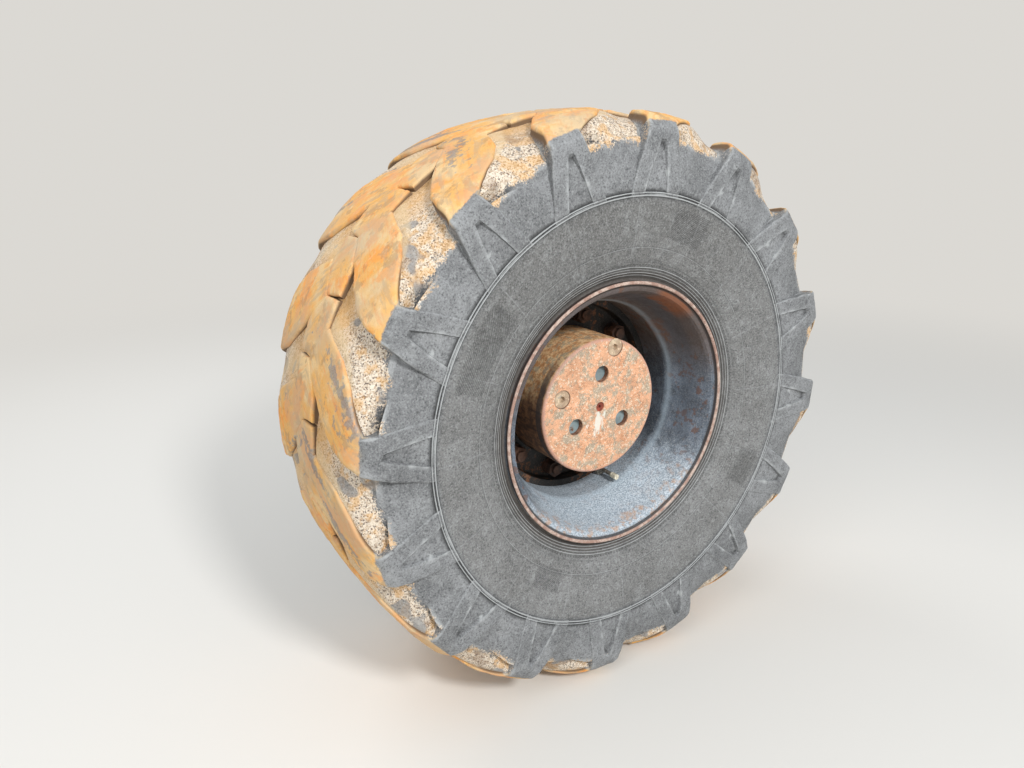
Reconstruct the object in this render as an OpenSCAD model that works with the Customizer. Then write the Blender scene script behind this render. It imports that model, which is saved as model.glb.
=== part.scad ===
/* [Tyre] */
// Radius over the tops of the lugs
tyre_r = 562; // [545:1:575]
// Width of the tyre's section over both sidewalls
tyre_w = 445; // [435:1:455]
// Depth of the lugs at the crown
lug_depth = 26; // [20:1:30]
// Lugs on each side of the tread
lug_count = 16; // [12:1:18]
// Half width of the row of blocks along the middle of the tread
block_half_w = 42.5; // [39:0.5:45]
// Drop of the crown from the middle of the tread to its edge
crown_drop = 14; // [8:1:18]
// Rounding of the tread's shoulder
shoulder_round = 40; // [34:1:46]
// Thickness of the sidewall
sidewall_t = 18; // [14:1:22]

/* [Rim] */
// Radius of the bead seat where it meets the flange
rim_r = 247.65; // [246:0.05:249]
// Width between the rim's flanges
rim_w = 355.6; // [350:0.1:360]
// Height of the flange over the bead seat
rim_flange_h = 12.7; // [11:0.1:14]
// Thickness of the rim's sheet
rim_t = 9; // [7:0.5:11]
// Radius of the drop centre, on the tyre's side
well_r = 215; // [213:1:218]
// Half width of the drop centre's floor
well_half_w = 86; // [76:1:96]
// Thickness of the wheel disc
disc_t = 14; // [11:1:17]
// Outboard face of the wheel disc, measured outboard of the wheel's middle
disc_face = -8; // [-12:1:-4]
// Width of the disc's skirt from its face to its lip
skirt_w = 28; // [24:1:36]
// Wheel studs in the ring
stud_count = 10; // [8:1:12]
// Diameter of the stud circle
stud_pcd = 335; // [332:1:340]
// Diameter of the wheel studs
stud_d = 22; // [18:1:24]
// Diameter of the disc's centre bore
disc_bore_d = 281; // [279:0.5:283]
// Length of the valve's stem
valve_length = 62; // [50:1:75]

/* [Hub] */
// Radius of the planet carrier's drum
drum_r = 138.5; // [134:0.5:139]
// Outboard face of the drum, measured outboard of the wheel's middle
drum_face = 119; // [110:1:126]
// Rounding of the drum's outer edge
drum_round = 6; // [3:1:9]
// Radius of the circle of planet pins
planet_circle_r = 67; // [62:1:72]
// Radius of the recesses at the planet pins
planet_pin_r = 17; // [14:0.5:19]
// Radius of the hub's wheel flange
hub_flange_r = 190; // [186:1:193]
// Thickness of the hub's wheel flange
hub_flange_t = 22; // [19:1:25]
// Length of the hub behind its flange
hub_length = 40; // [34:1:42]
// Radius of the hub behind its flange
hub_r = 146; // [140:1:148]
// Radius of the brake housing
brake_r = 176; // [170:1:182]
// Width of the brake housing
brake_w = 60; // [54:1:62]
// Radius of the spindle on which the hub turns
spindle_r = 90; // [84:1:96]

/* [Knuckle] */
// Distance from the kingpin axis to the wheel's middle
king_offset = 260; // [258:1:268]
// Radius of the kingpins
kingpin_r = 27.5; // [25:0.5:29]
// Radius of the ears round the kingpins
ear_r = 60; // [57:1:62]
// Thickness of the knuckle's ears
knuckle_ear_t = 42; // [38:1:46]
// Radius of the knuckle's round web
knuckle_r = 160; // [156:1:166]
// Thickness of the knuckle's round web
web_t = 26; // [23:1:27]
// Height of the ring behind the web
web_ring_h = 30; // [24:1:32]
// Largest steering angle each way
steer_limit = 35; // [28:1:35]
// Gap between the steering lever's bolts and the inside of the rim
lever_gap = 16; // [8:1:20]
// Distance of the tie rod's eye from the kingpin axis, towards the machine's middle
tie_rod_reach = 20; // [10:1:24]
// Height of the tie rod's eye, measured from the wheel's axis
tie_rod_z = -50; // [-56:1:-44]
// Radius of the tie rod's bore
tie_rod_bore_r = 13; // [11:0.5:15]

/* [Axle arm] */
// Length of the axle arm from its flange to the kingpin axis
arm_length = 540; // [500:5:580]
// Radius of the axle arm's tube at its narrowest
arm_r = 84; // [80:1:90]
// Radius of the arm's head, where the fork joins it
arm_head_r = 96; // [92:1:98]
// Radius of the arm's bolting flange
arm_flange_r = 165; // [162:1:175]
// Thickness of the arm's bolting flange
arm_flange_t = 24; // [20:1:28]
// Diameter of the arm flange's bolt circle
arm_pcd = 295; // [290:1:300]
// Bolts in the arm's flange
arm_bolt_count = 12; // [10:1:16]
// Radius of the holes in the arm's flange
arm_hole_r = 8.75; // [7:0.25:10]
// Height of the fork's inner faces above and below the wheel's axis
fork_gap = 80; // [78:1:84]
// Thickness of the fork's ears
fork_ear_t = 38; // [35:1:41]

/* [Drive shafts] */
// Radius of the shafts
shaft_r = 22; // [20:0.5:23]
// Outer radius of the ball joint's bell
bell_r = 66; // [64:1:68]
// Wall of the ball joint's bell
bell_t = 16; // [14:1:17]
// Length of the inner shaft that stands out of the arm's flange
shaft_reach = 60; // [50:1:80]

/* [Hidden] */
$fn = 96;

running_gap = 0.05;
seat_gap = 0.2;
face_gap = 5;
wheel_y = -arm_length - king_offset;

// Places along the wheel's axis, measured outboard of the wheel's middle
disc_back = disc_face - disc_t;
flange_back = disc_back - hub_flange_t;
hub_back = flange_back - hub_length;
brake_front = hub_back - face_gap;
brake_back = brake_front - brake_w;
web_back = brake_back - web_t;
ring_back = web_back - web_ring_h;
spindle_end = flange_back + 8;

// Rim
rim_half_w = rim_w / 2;
flange_lip_r = rim_r + rim_flange_h;
well_inner_r = well_r - rim_t;
skirt_r = well_inner_r - seat_gap;
disc_bend_r = 5;

// Fork, kingpins and knuckle, measured from the kingpin axis
fork_top = fork_gap + fork_ear_t;
ear_bottom = fork_top + face_gap;
ear_top = ear_bottom + knuckle_ear_t;
kingpin_flange_t = 13;
kingpin_flange_r = 55;
kingpin_circle_r = 39;
kingpin_tip = fork_gap + 4;
head_start = 86;
web_ring_t = 28;
brake_washer_r = 14;
brake_circle_r = ear_bottom - brake_washer_r - 3;
web_face = -king_offset - web_back;
ring_face = -king_offset - ring_back;
throat_half_w = 92;

// Steering stops: the arm's shoulders and the bolts that meet them at full lock
shoulder_half_w = 118;
shoulder_h = 32;
stop_gap = 1;
stop_bolt_r = 8;
stop_z = 26;
stop_x = shoulder_half_w * cos(steer_limit) + head_start * sin(steer_limit);
stop_tip = head_start * cos(steer_limit) - shoulder_half_w * sin(steer_limit) - stop_gap;

// Ball joint in the shaft, and the spline of its inner end
race_r = bell_r - bell_t - face_gap;
race_half_w = 32;
bell_mouth = 18;
web_place = -web_face;
spline_count = 18;
spline_length = 36;
spline_depth = 1.5;
spline_w = 2.8;

// Steering lever: its pad lies as far out as the rim leaves room for the bolts' heads
lever_t = 28;
lever_pad_h = 88;
lever_eye_r = 27;
lever_eye_h = 44;
lever_bolt_inset = 18;
lever_washer_r = 12;
lever_bolt_h = 10;
lever_low = -tie_rod_z + lever_pad_h / 2 - lever_bolt_inset + lever_washer_r;
lever_pad_x = sqrt(pow(rim_r - rim_t - 4 - lever_gap, 2) - pow(lever_low, 2)) - lever_t - lever_bolt_h;
lever_pad_start = brake_circle_r + 12;
tie_rod_x = lever_pad_x + lever_t / 2 + 2;

module at_wheel() translate([0, wheel_y, 0]) children();
module at_kingpin() translate([0, -arm_length, 0]) children();

// Profile (radius, outboard place) turned about the wheel's axis
module turned(points) rotate([90, 0, 0]) rotate_extrude() polygon(points);

// Round bar along the wheel's axis between two outboard places
module bar(r, from, to) rotate([90, 0, 0]) translate([0, 0, from]) cylinder(r = r, h = to - from);

// Hexagon along the wheel's axis between two outboard places
module hexagon(across, from, to)
    rotate([90, 0, 0]) translate([0, 0, from]) cylinder(r = across / 2 / cos(30), h = to - from, $fn = 6);

// Copies on a ring about the wheel's axis, the first at an angle from +X towards +Z
module ring_of(count, radius, first = 0)
    for (i = [0:count - 1]) rotate([0, -first - i * 360 / count, 0]) translate([radius, 0, 0]) children();

function arc(centre, r, from, to, steps) =
    [for (i = [0:steps]) let(a = from + (to - from) * i / steps) centre + r * [cos(a), sin(a)]];
function other_side(points) = [for (p = points) [p[0], -p[1]]];
function reversed(points) = [for (i = [len(points) - 1:-1:0]) points[i]];

// Axle arm: profile of its tube, measured outboard of the flange's face
arm_head = arm_length - head_start;
arm_bore_r = shaft_r + 10;
spigot_r = 120;
spigot_h = 6;
plug_y = -190;

// Fork arm from the ear down to the tube: distance from the kingpin towards the flange, height
fork_outline = [[0, fork_gap], [0, fork_top], [64, fork_top], [112, fork_top - 8], [200, arm_r - 4],
                [200, 30], [head_start, 30], [head_start, fork_gap]];

module axle_arm() color("slategray") difference() {
    union() {
        turned([[0, -spigot_h], [spigot_r, -spigot_h], [spigot_r, 0], [arm_flange_r, 0],
                [arm_flange_r, arm_flange_t - 3], [arm_flange_r - 3, arm_flange_t],
                [arm_pcd / 2 - 22, arm_flange_t], [arm_r + 22, arm_flange_t + 8],
                [arm_r + 8, arm_flange_t + 40], [arm_r, arm_flange_t + 110], [arm_r, arm_head - 120],
                [arm_head_r - 4, arm_head - 60], [arm_head_r, arm_head - 40], [arm_head_r, arm_head - 4],
                [arm_head_r - 4, arm_head], [0, arm_head]]);
        for (side = [-1, 1]) {
            at_kingpin() translate([0, 0, side > 0 ? fork_gap : -fork_top]) cylinder(r = ear_r, h = fork_ear_t);
            at_kingpin() translate([-46, 0, 0]) rotate([90, 0, 90]) linear_extrude(height = 92)
                polygon([for (p = fork_outline) [p[0], side * p[1]]]);
            rotate([0, side * 90, 0]) translate([-8, -arm_head + 20, 0]) cube([16, arm_head - 50, arm_r + 10]);
        }
        at_kingpin() translate([-shoulder_half_w, head_start, stop_z - shoulder_h / 2])
            cube([2 * shoulder_half_w, 30, shoulder_h]);
        translate([0, plug_y, 0]) rotate([0, 90, 0]) cylinder(r = 20, h = arm_r + 14);
    }
    bar(arm_bore_r, -spigot_h - 1, arm_head + 1);
    at_kingpin() translate([0, 0, -fork_top - 1]) cylinder(r = kingpin_r + running_gap, h = 2 * fork_top + 2);
    ring_of(arm_bolt_count, arm_pcd / 2, 15) bar(arm_hole_r, -1, arm_flange_t + 1);
}

module arm_seal() color("black") difference() {
    bar(46, arm_head, arm_head + 7);
    bar(shaft_r + running_gap, arm_head - 1, arm_head + 8);
}

module oil_plug() color("silver") translate([arm_r + 14, plug_y, 0]) rotate([0, 90, 0]) {
    cylinder(r = 15, h = 3);
    translate([0, 0, 3]) cylinder(r = 11 / cos(30), h = 9, $fn = 6);
}

module inner_shaft() color("gainsboro") {
    difference() {
        bar(shaft_r, -shaft_reach, arm_length - 30);
        for (i = [0:spline_count - 1]) rotate([0, i * 360 / spline_count, 0])
            translate([shaft_r - spline_depth, shaft_reach - spline_length, -spline_w / 2])
                cube([2 * spline_depth, spline_length + 1, spline_w]);
    }
    at_kingpin() turned(concat([[0, -race_half_w]],
                               arc([0, 0], race_r, -asin(race_half_w / race_r), asin(race_half_w / race_r), 10),
                               [[0, race_half_w]]));
}

// Bell of the ball joint, its shaft and the spherical hollow in which the race swivels
module outer_shaft() color("gainsboro") at_kingpin()
    turned(concat(arc([0, 0], bell_r, -asin(bell_mouth / bell_r), acos((shaft_r + 18) / bell_r), 12),
                  [[shaft_r + 6, bell_r + 6], [shaft_r + 6, web_place - face_gap], [shaft_r, web_place - face_gap],
                   [shaft_r, king_offset + spindle_end - 4], [0, king_offset + spindle_end - 4]],
                  arc([0, 0], bell_r - bell_t, 90, -asin(bell_mouth / (bell_r - bell_t)), 14)));

module knuckle() color("slategray") difference() {
    union() {
        at_wheel() turned([[0, brake_back], [knuckle_r, brake_back], [knuckle_r, ring_back + 4],
                           [knuckle_r - 4, ring_back], [knuckle_r - web_ring_t, ring_back],
                           [knuckle_r - web_ring_t - 6, web_back], [0, web_back]]);
        for (side = [-1, 1]) at_kingpin() translate([0, 0, side > 0 ? ear_bottom : -ear_top]) {
            cylinder(r = ear_r, h = knuckle_ear_t);
            linear_extrude(height = knuckle_ear_t)
                polygon([[ear_r, 0], [throat_half_w, ring_face], [throat_half_w, web_face - web_t + 6],
                         [-throat_half_w, web_face - web_t + 6], [-throat_half_w, ring_face], [-ear_r, 0]]);
        }
        at_kingpin() translate([lever_pad_start, web_face - web_t + 3, tie_rod_z - lever_pad_h / 2])
            cube([lever_pad_x - lever_pad_start, ring_face - web_face + web_t, lever_pad_h]);
    }
    at_kingpin() translate([0, 0, -ear_top - 1]) cylinder(r = kingpin_r + running_gap, h = 2 * ear_top + 2);
    at_wheel() bar(shaft_r + running_gap, web_back - 1, brake_back + 1);
    at_kingpin() for (side = [-1, 1])
        translate([side * stop_x, 0, stop_z]) bar(stop_bolt_r + seat_gap, -ring_face - 1, -web_face + 8);
}

module kingpin() {
    translate([0, 0, kingpin_tip]) cylinder(r = kingpin_r, h = ear_top - kingpin_tip + 1);
    translate([0, 0, ear_top]) cylinder(r1 = kingpin_flange_r, r2 = kingpin_flange_r - 2, h = kingpin_flange_t);
}

module kingpin_upper() color("sienna") at_kingpin() kingpin();
module kingpin_lower() color("sienna") at_kingpin() mirror([0, 0, 1]) kingpin();

module kingpin_bolts() color("silver") at_kingpin() for (side = [0, 1]) mirror([0, 0, side])
    for (i = [0:3]) rotate([0, 0, 45 + i * 90]) translate([kingpin_circle_r, 0, ear_top + kingpin_flange_t]) {
        cylinder(r = 13.5, h = 2);
        translate([0, 0, 2]) cylinder(r = 12 / cos(30), h = 9, $fn = 6);
    }

module spindle() color("silver") at_wheel() difference() {
    bar(spindle_r, brake_back, spindle_end);
    bar(shaft_r + 5, brake_back - 1, spindle_end + 1);
}

module brake_housing() color("slategray") at_wheel() difference() {
    union() {
        turned([[spindle_r + seat_gap, brake_back], [brake_r, brake_back], [brake_r, brake_back + 12],
                [brake_r - 8, brake_back + 16], [brake_r - 8, brake_front - 18],
                [brake_r, brake_front - 14], [brake_r, brake_front - 2], [brake_r - 2, brake_front],
                [spindle_r + seat_gap, brake_front]]);
        for (i = [0:11]) rotate([0, -i * 30 - 15, 0]) translate([brake_r - 22, -brake_front + 3, -5])
            cube([20, brake_w - 6, 10]);
    }
    bar(spindle_r + seat_gap, brake_back - 1, brake_front + 1);
}

module brake_bolts() color("silver") at_wheel() ring_of(10, brake_circle_r, 18) {
    bar(brake_washer_r, web_back - 3, web_back);
    hexagon(24, web_back - 13, web_back - 3);
}

module hub_seal() color("black") at_wheel()
    turned([[spindle_r + 12, brake_front], [hub_r - 6, brake_front], [hub_r - 6, brake_front + 2],
            [hub_r - 12, hub_back - 0.3], [spindle_r + 12, hub_back - 0.3]]);

module steering_lever() color("slategray") at_kingpin() difference() {
    union() {
        translate([lever_pad_x, 0, 0]) rotate([90, 0, 90]) linear_extrude(height = lever_t)
            polygon([[web_face - web_t + 3, tie_rod_z - lever_pad_h / 2],
                     [ring_face, tie_rod_z - lever_pad_h / 2], [ring_face + 12, tie_rod_z - lever_pad_h / 2 + 8],
                     [tie_rod_reach - lever_eye_r, tie_rod_z - lever_eye_h / 2],
                     [tie_rod_reach, tie_rod_z - lever_eye_h / 2], [tie_rod_reach, tie_rod_z + lever_eye_h / 2],
                     [tie_rod_reach - lever_eye_r, tie_rod_z + lever_eye_h / 2],
                     [ring_face + 12, tie_rod_z + lever_pad_h / 2 - 8], [ring_face, tie_rod_z + lever_pad_h / 2],
                     [web_face - web_t + 3, tie_rod_z + lever_pad_h / 2]]);
        translate([tie_rod_x, tie_rod_reach, tie_rod_z - lever_eye_h / 2])
            cylinder(r = lever_eye_r, h = lever_eye_h);
    }
    translate([tie_rod_x, tie_rod_reach, tie_rod_z - lever_eye_h]) cylinder(r = tie_rod_bore_r, h = 2 * lever_eye_h);
}

module lever_bolts() color("silver") at_kingpin()
    for (side = [-1, 1]) for (place = [web_face - 12, ring_face - 11])
        translate([lever_pad_x + lever_t, place, tie_rod_z + side * (lever_pad_h / 2 - lever_bolt_inset)])
            rotate([0, 90, 0]) {
                cylinder(r = lever_washer_r, h = 2);
                translate([0, 0, 2]) cylinder(r = 10 / cos(30), h = lever_bolt_h - 2, $fn = 6);
            }

module stop_bolts() color("silver") at_kingpin() for (side = [-1, 1]) translate([side * stop_x, 0, stop_z]) {
    bar(stop_bolt_r, -stop_tip, -web_face + 6);
    hexagon(24, -ring_face - 9, -ring_face);
}

module brake_union() color("goldenrod") at_wheel() rotate([0, -145, 0]) translate([brake_r - 8, 0, 0])
    rotate([0, 90, 0]) translate([0, (-brake_front - brake_back) / 2, 0]) {
        cylinder(r = 9, h = 5);
        translate([0, 0, 5]) cylinder(r = 7 / cos(30), h = 8, $fn = 6);
    }

module hub() color("sienna") at_wheel() difference() {
    turned([[0, disc_back], [hub_flange_r - 2, disc_back], [hub_flange_r, disc_back - 2],
            [hub_flange_r, flange_back + 2], [hub_flange_r - 2, flange_back], [hub_r + 3, flange_back],
            [hub_r, flange_back - 3], [hub_r, hub_back + 2], [hub_r - 2, hub_back], [0, hub_back]]);
    bar(spindle_r + running_gap, hub_back - 1, spindle_end + 3);
    ring_of(stud_count, stud_pcd / 2, stud_first) bar(stud_d / 2 + seat_gap, flange_back - 1, disc_back + 1);
}

// Recesses and screws in the drum's face
planet_first = 88;
recess_depth = 13;
screw_r = 18;
// Screws: radius of their circle, angle from +X towards +Z
screw_places = [[98, 161], [122, 74]];

module planet_carrier() color("peru") at_wheel() difference() {
    turned(concat([[0, disc_back], [drum_r, disc_back]],
                  arc([drum_r - drum_round, drum_face - drum_round], drum_round, 0, 90, 4), [[0, drum_face]]));
    ring_of(3, planet_circle_r, planet_first) bar(planet_pin_r, drum_face - recess_depth - 30, drum_face + 1);
    for (place = screw_places) rotate([0, -place[1], 0]) translate([place[0], 0, 0])
        bar(screw_r, drum_face - 12, drum_face + 1);
    bar(10, drum_face - 14, drum_face + 1);
}

module planet_pins() color("cadetblue") at_wheel() ring_of(3, planet_circle_r, planet_first)
    bar(planet_pin_r - seat_gap, drum_face - recess_depth - 30, drum_face - recess_depth);

module carrier_screws() color("peru") at_wheel() for (place = screw_places)
    rotate([0, -place[1], 0]) translate([place[0], 0, 0]) difference() {
        turned([[0, drum_face - 12], [screw_r - 4, drum_face - 12], [screw_r - 0.5, drum_face - 1.5],
                [0, drum_face - 1.5]]);
        hexagon(12, drum_face - 9, drum_face);
    }

module centre_plug() color("sienna") at_wheel() difference() {
    bar(10 - seat_gap, drum_face - 14, drum_face - 2);
    bar(3, drum_face - 8, drum_face);
}

stud_first = 78;
nut_height = 27;
nut_flange_h = 6;
nut_across = 32;
stud_tip = disc_face + nut_height + 7;

module wheel_studs() color("sienna") at_wheel() ring_of(stud_count, stud_pcd / 2, stud_first) {
    bar(stud_d / 2, flange_back, stud_tip);
    bar(stud_d / 2 + 4, flange_back - 7, flange_back);
}

module wheel_nuts() color("sienna") at_wheel() ring_of(stud_count, stud_pcd / 2, stud_first) difference() {
    union() {
        bar(nut_across / 2 + 2.5, disc_face, disc_face + nut_flange_h);
        hexagon(nut_across, disc_face + nut_flange_h, disc_face + nut_height);
    }
    bar(stud_d / 2 + seat_gap, disc_face - 1, disc_face + nut_height + 1);
}

module wheel_disc() color("lightslategray") at_wheel() difference() {
    turned(concat([[disc_bore_d / 2, disc_back], [disc_bore_d / 2, disc_face]],
                  arc([skirt_r - disc_t - disc_bend_r, disc_face + disc_bend_r], disc_bend_r, -90, 0, 5),
                  [[skirt_r - disc_t, disc_face + skirt_w], [skirt_r, disc_face + skirt_w]],
                  arc([skirt_r - disc_t - disc_bend_r, disc_face + disc_bend_r], disc_bend_r + disc_t, 0, -90, 5)));
    ring_of(stud_count, stud_pcd / 2, stud_first) bar(stud_d / 2 + 1, disc_back - 1, disc_face + 1);
}

// Rim section from the flange's lip to the drop centre: radius, outboard place
seat_slope = tan(15);
seat_end = rim_half_w - 36;
rim_outside = [[flange_lip_r, rim_half_w + 1], [rim_r + 4, rim_half_w], [rim_r, rim_half_w - 4],
               [rim_r - 32 * seat_slope, seat_end], [rim_r - 12, seat_end - 9],
               [well_r + 2, well_half_w + 6], [well_r, well_half_w - 2]];
lip_t = 6;
lip_place = rim_half_w + 12.5;
gutter_place = lip_place - 7;
rim_inside = [[flange_lip_r, lip_place - 1.5], [flange_lip_r - 1.5, lip_place],
              [flange_lip_r - lip_t + 1.5, lip_place], [flange_lip_r - lip_t, lip_place - 1.5],
              [flange_lip_r - lip_t - 1.5, gutter_place + 0.5],
              [rim_r + 3, gutter_place], [rim_r - 2, gutter_place + 0.5], [rim_r - rim_t + 3, gutter_place - 1],
              [rim_r - rim_t, rim_half_w - 1], [rim_r - 32 * seat_slope - rim_t, seat_end + 2],
              [rim_r - 13 - rim_t, seat_end - 11], [well_inner_r + 2, well_half_w + 2],
              [well_inner_r, well_half_w - 6]];

// Valve: angle from +X towards +Z, and place of its hole
valve_angle = -69;
valve_place = disc_face + skirt_w + 14;
valve_hole_r = 8;

module rim_barrel() color("lightsteelblue") at_wheel() difference() {
    turned(concat(rim_outside, reversed(other_side(rim_outside)), other_side(rim_inside), reversed(rim_inside)));
    rotate([0, -valve_angle, 0]) translate([well_inner_r - 10, -valve_place, 0]) rotate([0, 90, 0])
        cylinder(r = valve_hole_r, h = 30);
}

module valve() color("gold") at_wheel() rotate([0, -valve_angle, 0]) {
    translate([well_inner_r - 14, -valve_place, 0]) rotate([0, 90, 0]) {
        cylinder(r = valve_hole_r - seat_gap, h = 22);
        cylinder(r = 11, h = 12);
    }
    translate([well_inner_r - 14, 0, 0]) {
        bar(4.5, valve_place, valve_place + valve_length - 16);
        bar(6, valve_place + valve_length - 16, valve_place + valve_length);
    }
    translate([well_inner_r - 14, -valve_place, 0]) sphere(r = 7);
}

// Tyre section: the sidewall is an arc from the bead to the void between the lugs
tread_half_w = tyre_w / 2 - 4;
groove_r = tyre_r - lug_depth;
rib_r = 414.6;
rib_half_w = tyre_w / 2 - 9.5;
bead_r = rim_r + 15;
bead_place = rim_half_w - 0.3;
side_arc_r = 400;
side_arc_middle = 430;
side_end_r = groove_r - 76;
side_steps = 6;
void_half_w = tread_half_w - 68.5;
void_round = 55;
casing_t = 25;

function crown_r(place) = tyre_r - crown_drop * pow(place / tread_half_w, 2);
function side_place(r, inset = 0) =
    rib_half_w - side_arc_r + sqrt(pow(side_arc_r - inset, 2) - pow(r - side_arc_middle, 2));

side_radii = [for (i = [1:side_steps]) bead_r + (side_end_r - bead_r) * i / side_steps];
tyre_outside = concat([[rim_r + seat_gap, rim_half_w - 6], [rim_r + 5, bead_place], [bead_r, bead_place]],
                      [for (r = side_radii) [r, side_place(r)]],
                      arc([groove_r - void_round, void_half_w], void_round, 78, 0, 6));
tyre_inside = concat([[rim_r - 30 * seat_slope + seat_gap, rim_half_w - 34],
                      [rim_r - 26 * seat_slope + 9, rim_half_w - 34]],
                     [for (r = side_radii) [r - 8, side_place(r - 8, sidewall_t)]],
                     [[groove_r - casing_t - 13, void_half_w + 8], [groove_r - casing_t - 2, void_half_w - 30],
                      [groove_r - casing_t, block_half_w]]);

// Lug on the tread: outboard place, leading edge in degrees, trailing edge in degrees
lug_rows = [[2, -0.2, 0.2], [42, -5.35, 4.35], [52, -5.95, 5], [82, -4.6, 8], [132, -2.4, 11.9],
            [170, 1, 13.2], [194, 5, 13.9], [204, 8.2, 14.4]];
// Lug on the side, and the recess in it: radius, leading edge in degrees, trailing edge in degrees
lug_side = [[tyre_r - 10, 8.6, 14.3], [rib_r - 1, 4.5, 19.3]];
lug_recess = [[tyre_r - 52, 11, 12.2], [rib_r - 4, 8.2, 15.7]];
recess_place = tread_half_w - 9;
leg_t = 34;
// Centre block from an outboard lug's tip to the next inboard one: degrees, outboard place
block_corners = [[0.4, 4], [4.8, block_half_w], [10.3, block_half_w], [10.9, 0], [10.8, -4],
                 [5.4, -block_half_w], [0.4, -block_half_w]];
lug_middle = 4;
block_middle = 5.6;
lug_first = 163.5;
lug_pitch = 360 / lug_count;
lug_root = groove_r - 14;
side_top_r = groove_r - 56;
shoulder_place = tread_half_w - shoulder_round;

function on_tread(degrees, place, middle) = [-tyre_r * sin(degrees - middle), -place];
function on_angle(row, side) = row[0] * [cos(row[side]), sin(row[side])];
function quad(rows) = [on_angle(rows[0], 1), on_angle(rows[0], 2), on_angle(rows[1], 2), on_angle(rows[1], 1)];

// Sector of the space between the casing and the lugs' tops, from a profile (radius, outboard place)
module sector(from, angle, points)
    rotate([90, 0, 0]) rotate([0, 0, from]) rotate_extrude(angle = angle) polygon(points);

// Prism that stands on the tread, from an outline drawn at the crown
module on_crown(outline, middle)
    rotate([0, 90 - middle, 0]) translate([0, 0, side_top_r]) linear_extrude(height = tyre_r + 10 - side_top_r)
        polygon(outline);

// Prism along the wheel's axis between two outboard places
module on_side(from, to) rotate([90, 0, 0]) translate([0, 0, from]) linear_extrude(height = to - from) children();

module lug() intersection() {
    sector(-12, 36, concat([[lug_root, -1]],
        [for (i = [0:3]) let(place = -1 + (shoulder_place + 1) * i / 3) [crown_r(place), place]],
        arc([crown_r(shoulder_place) - shoulder_round, shoulder_place], shoulder_round, 15, 90, 5),
        [[side_top_r, tread_half_w], [rib_r - 1, rib_half_w + 0.6], [rib_r - 1, rib_half_w - 8],
         [side_top_r - 4, rib_half_w - 14], [lug_root, void_half_w]]));
    union() {
        on_crown(concat([for (row = lug_rows) on_tread(row[1], row[0], lug_middle)],
                        reversed([for (row = lug_rows) on_tread(row[2], row[0], lug_middle)])), lug_middle);
        on_side(tread_half_w - leg_t, recess_place) polygon(quad(lug_side));
        on_side(recess_place, tread_half_w + 10) difference() {
            polygon(quad(lug_side));
            polygon(quad(lug_recess));
        }
    }
}

module centre_block() intersection() {
    sector(-4, 20, concat([[lug_root, block_half_w + 4], [lug_root, -block_half_w - 4]],
        [for (i = [-2:2]) let(place = (block_half_w + 4) * i / 2) [crown_r(place), place]]));
    on_crown([for (corner = block_corners) on_tread(corner[0], corner[1], block_middle)], block_middle);
}

module tyre() color("dimgray") at_wheel() {
    turned(concat(other_side(tyre_outside), reversed(tyre_outside), tyre_inside,
                  reversed(other_side(tyre_inside))));
    for (i = [0:lug_count - 1]) rotate([0, -lug_first - i * lug_pitch, 0]) {
        lug();
        centre_block();
        rotate([0, -lug_pitch / 2, 0]) mirror([0, 1, 0]) {
            lug();
            centre_block();
        }
    }
}

axle_arm();
arm_seal();
oil_plug();
inner_shaft();
knuckle();
kingpin_upper();
kingpin_lower();
kingpin_bolts();
spindle();
brake_housing();
brake_bolts();
hub_seal();
steering_lever();
lever_bolts();
stop_bolts();
brake_union();
outer_shaft();
hub();
planet_carrier();
planet_pins();
carrier_screws();
centre_plug();
wheel_studs();
wheel_nuts();
wheel_disc();
rim_barrel();
valve();
tyre();
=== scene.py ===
"""Dresses a steered drive wheel: tyre, rim, planetary hub, knuckle and axle arm, on a plain stage."""

import math

import bmesh
import bpy
from bpy.props import FloatProperty, FloatVectorProperty, IntProperty, PointerProperty
from mathutils import Matrix, Vector, noise


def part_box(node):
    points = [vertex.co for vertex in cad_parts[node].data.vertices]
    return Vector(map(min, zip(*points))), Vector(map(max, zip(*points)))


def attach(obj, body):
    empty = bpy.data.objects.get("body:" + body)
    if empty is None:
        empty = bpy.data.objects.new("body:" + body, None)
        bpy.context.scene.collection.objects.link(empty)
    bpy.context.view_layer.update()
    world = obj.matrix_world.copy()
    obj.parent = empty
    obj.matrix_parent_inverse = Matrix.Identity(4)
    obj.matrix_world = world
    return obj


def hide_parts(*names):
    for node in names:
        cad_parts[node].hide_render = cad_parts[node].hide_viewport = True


bl_info = {
    "name": "Steered drive wheel",
    "version": (1, 0, 0),
    "blender": (4, 5, 0),
    "location": "View3D > Sidebar > Drive wheel",
    "description": "Models and finishes a muddy drive wheel with its planetary hub and axle arm",
    "category": "Object",
}

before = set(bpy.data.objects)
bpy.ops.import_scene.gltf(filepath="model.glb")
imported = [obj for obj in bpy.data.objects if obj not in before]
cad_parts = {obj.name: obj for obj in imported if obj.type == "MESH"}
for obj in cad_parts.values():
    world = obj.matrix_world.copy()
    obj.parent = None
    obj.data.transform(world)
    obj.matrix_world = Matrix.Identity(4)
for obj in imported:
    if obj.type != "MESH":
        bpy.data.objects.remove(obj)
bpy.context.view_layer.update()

# All outlines and tables below are in millimetres and degrees, and these two turn them to metres and radians
MM = 0.001
DEGREE = math.pi / 180
tyre_low, tyre_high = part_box("tyre")
drum_low, drum_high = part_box("planet_carrier")
WHEEL_Y = (tyre_low.y + tyre_high.y) / 2
WHEEL_CENTRE = Vector((0, WHEEL_Y, 0))
TYRE_RADIUS = (tyre_high.z - tyre_low.z) / 2 / MM
TREAD_HALF_WIDTH = (tyre_high.y - tyre_low.y) / 2 / MM
DRUM_RADIUS = (drum_high.z - drum_low.z) / 2 / MM
FLOOR_Z = tyre_low.z
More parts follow.
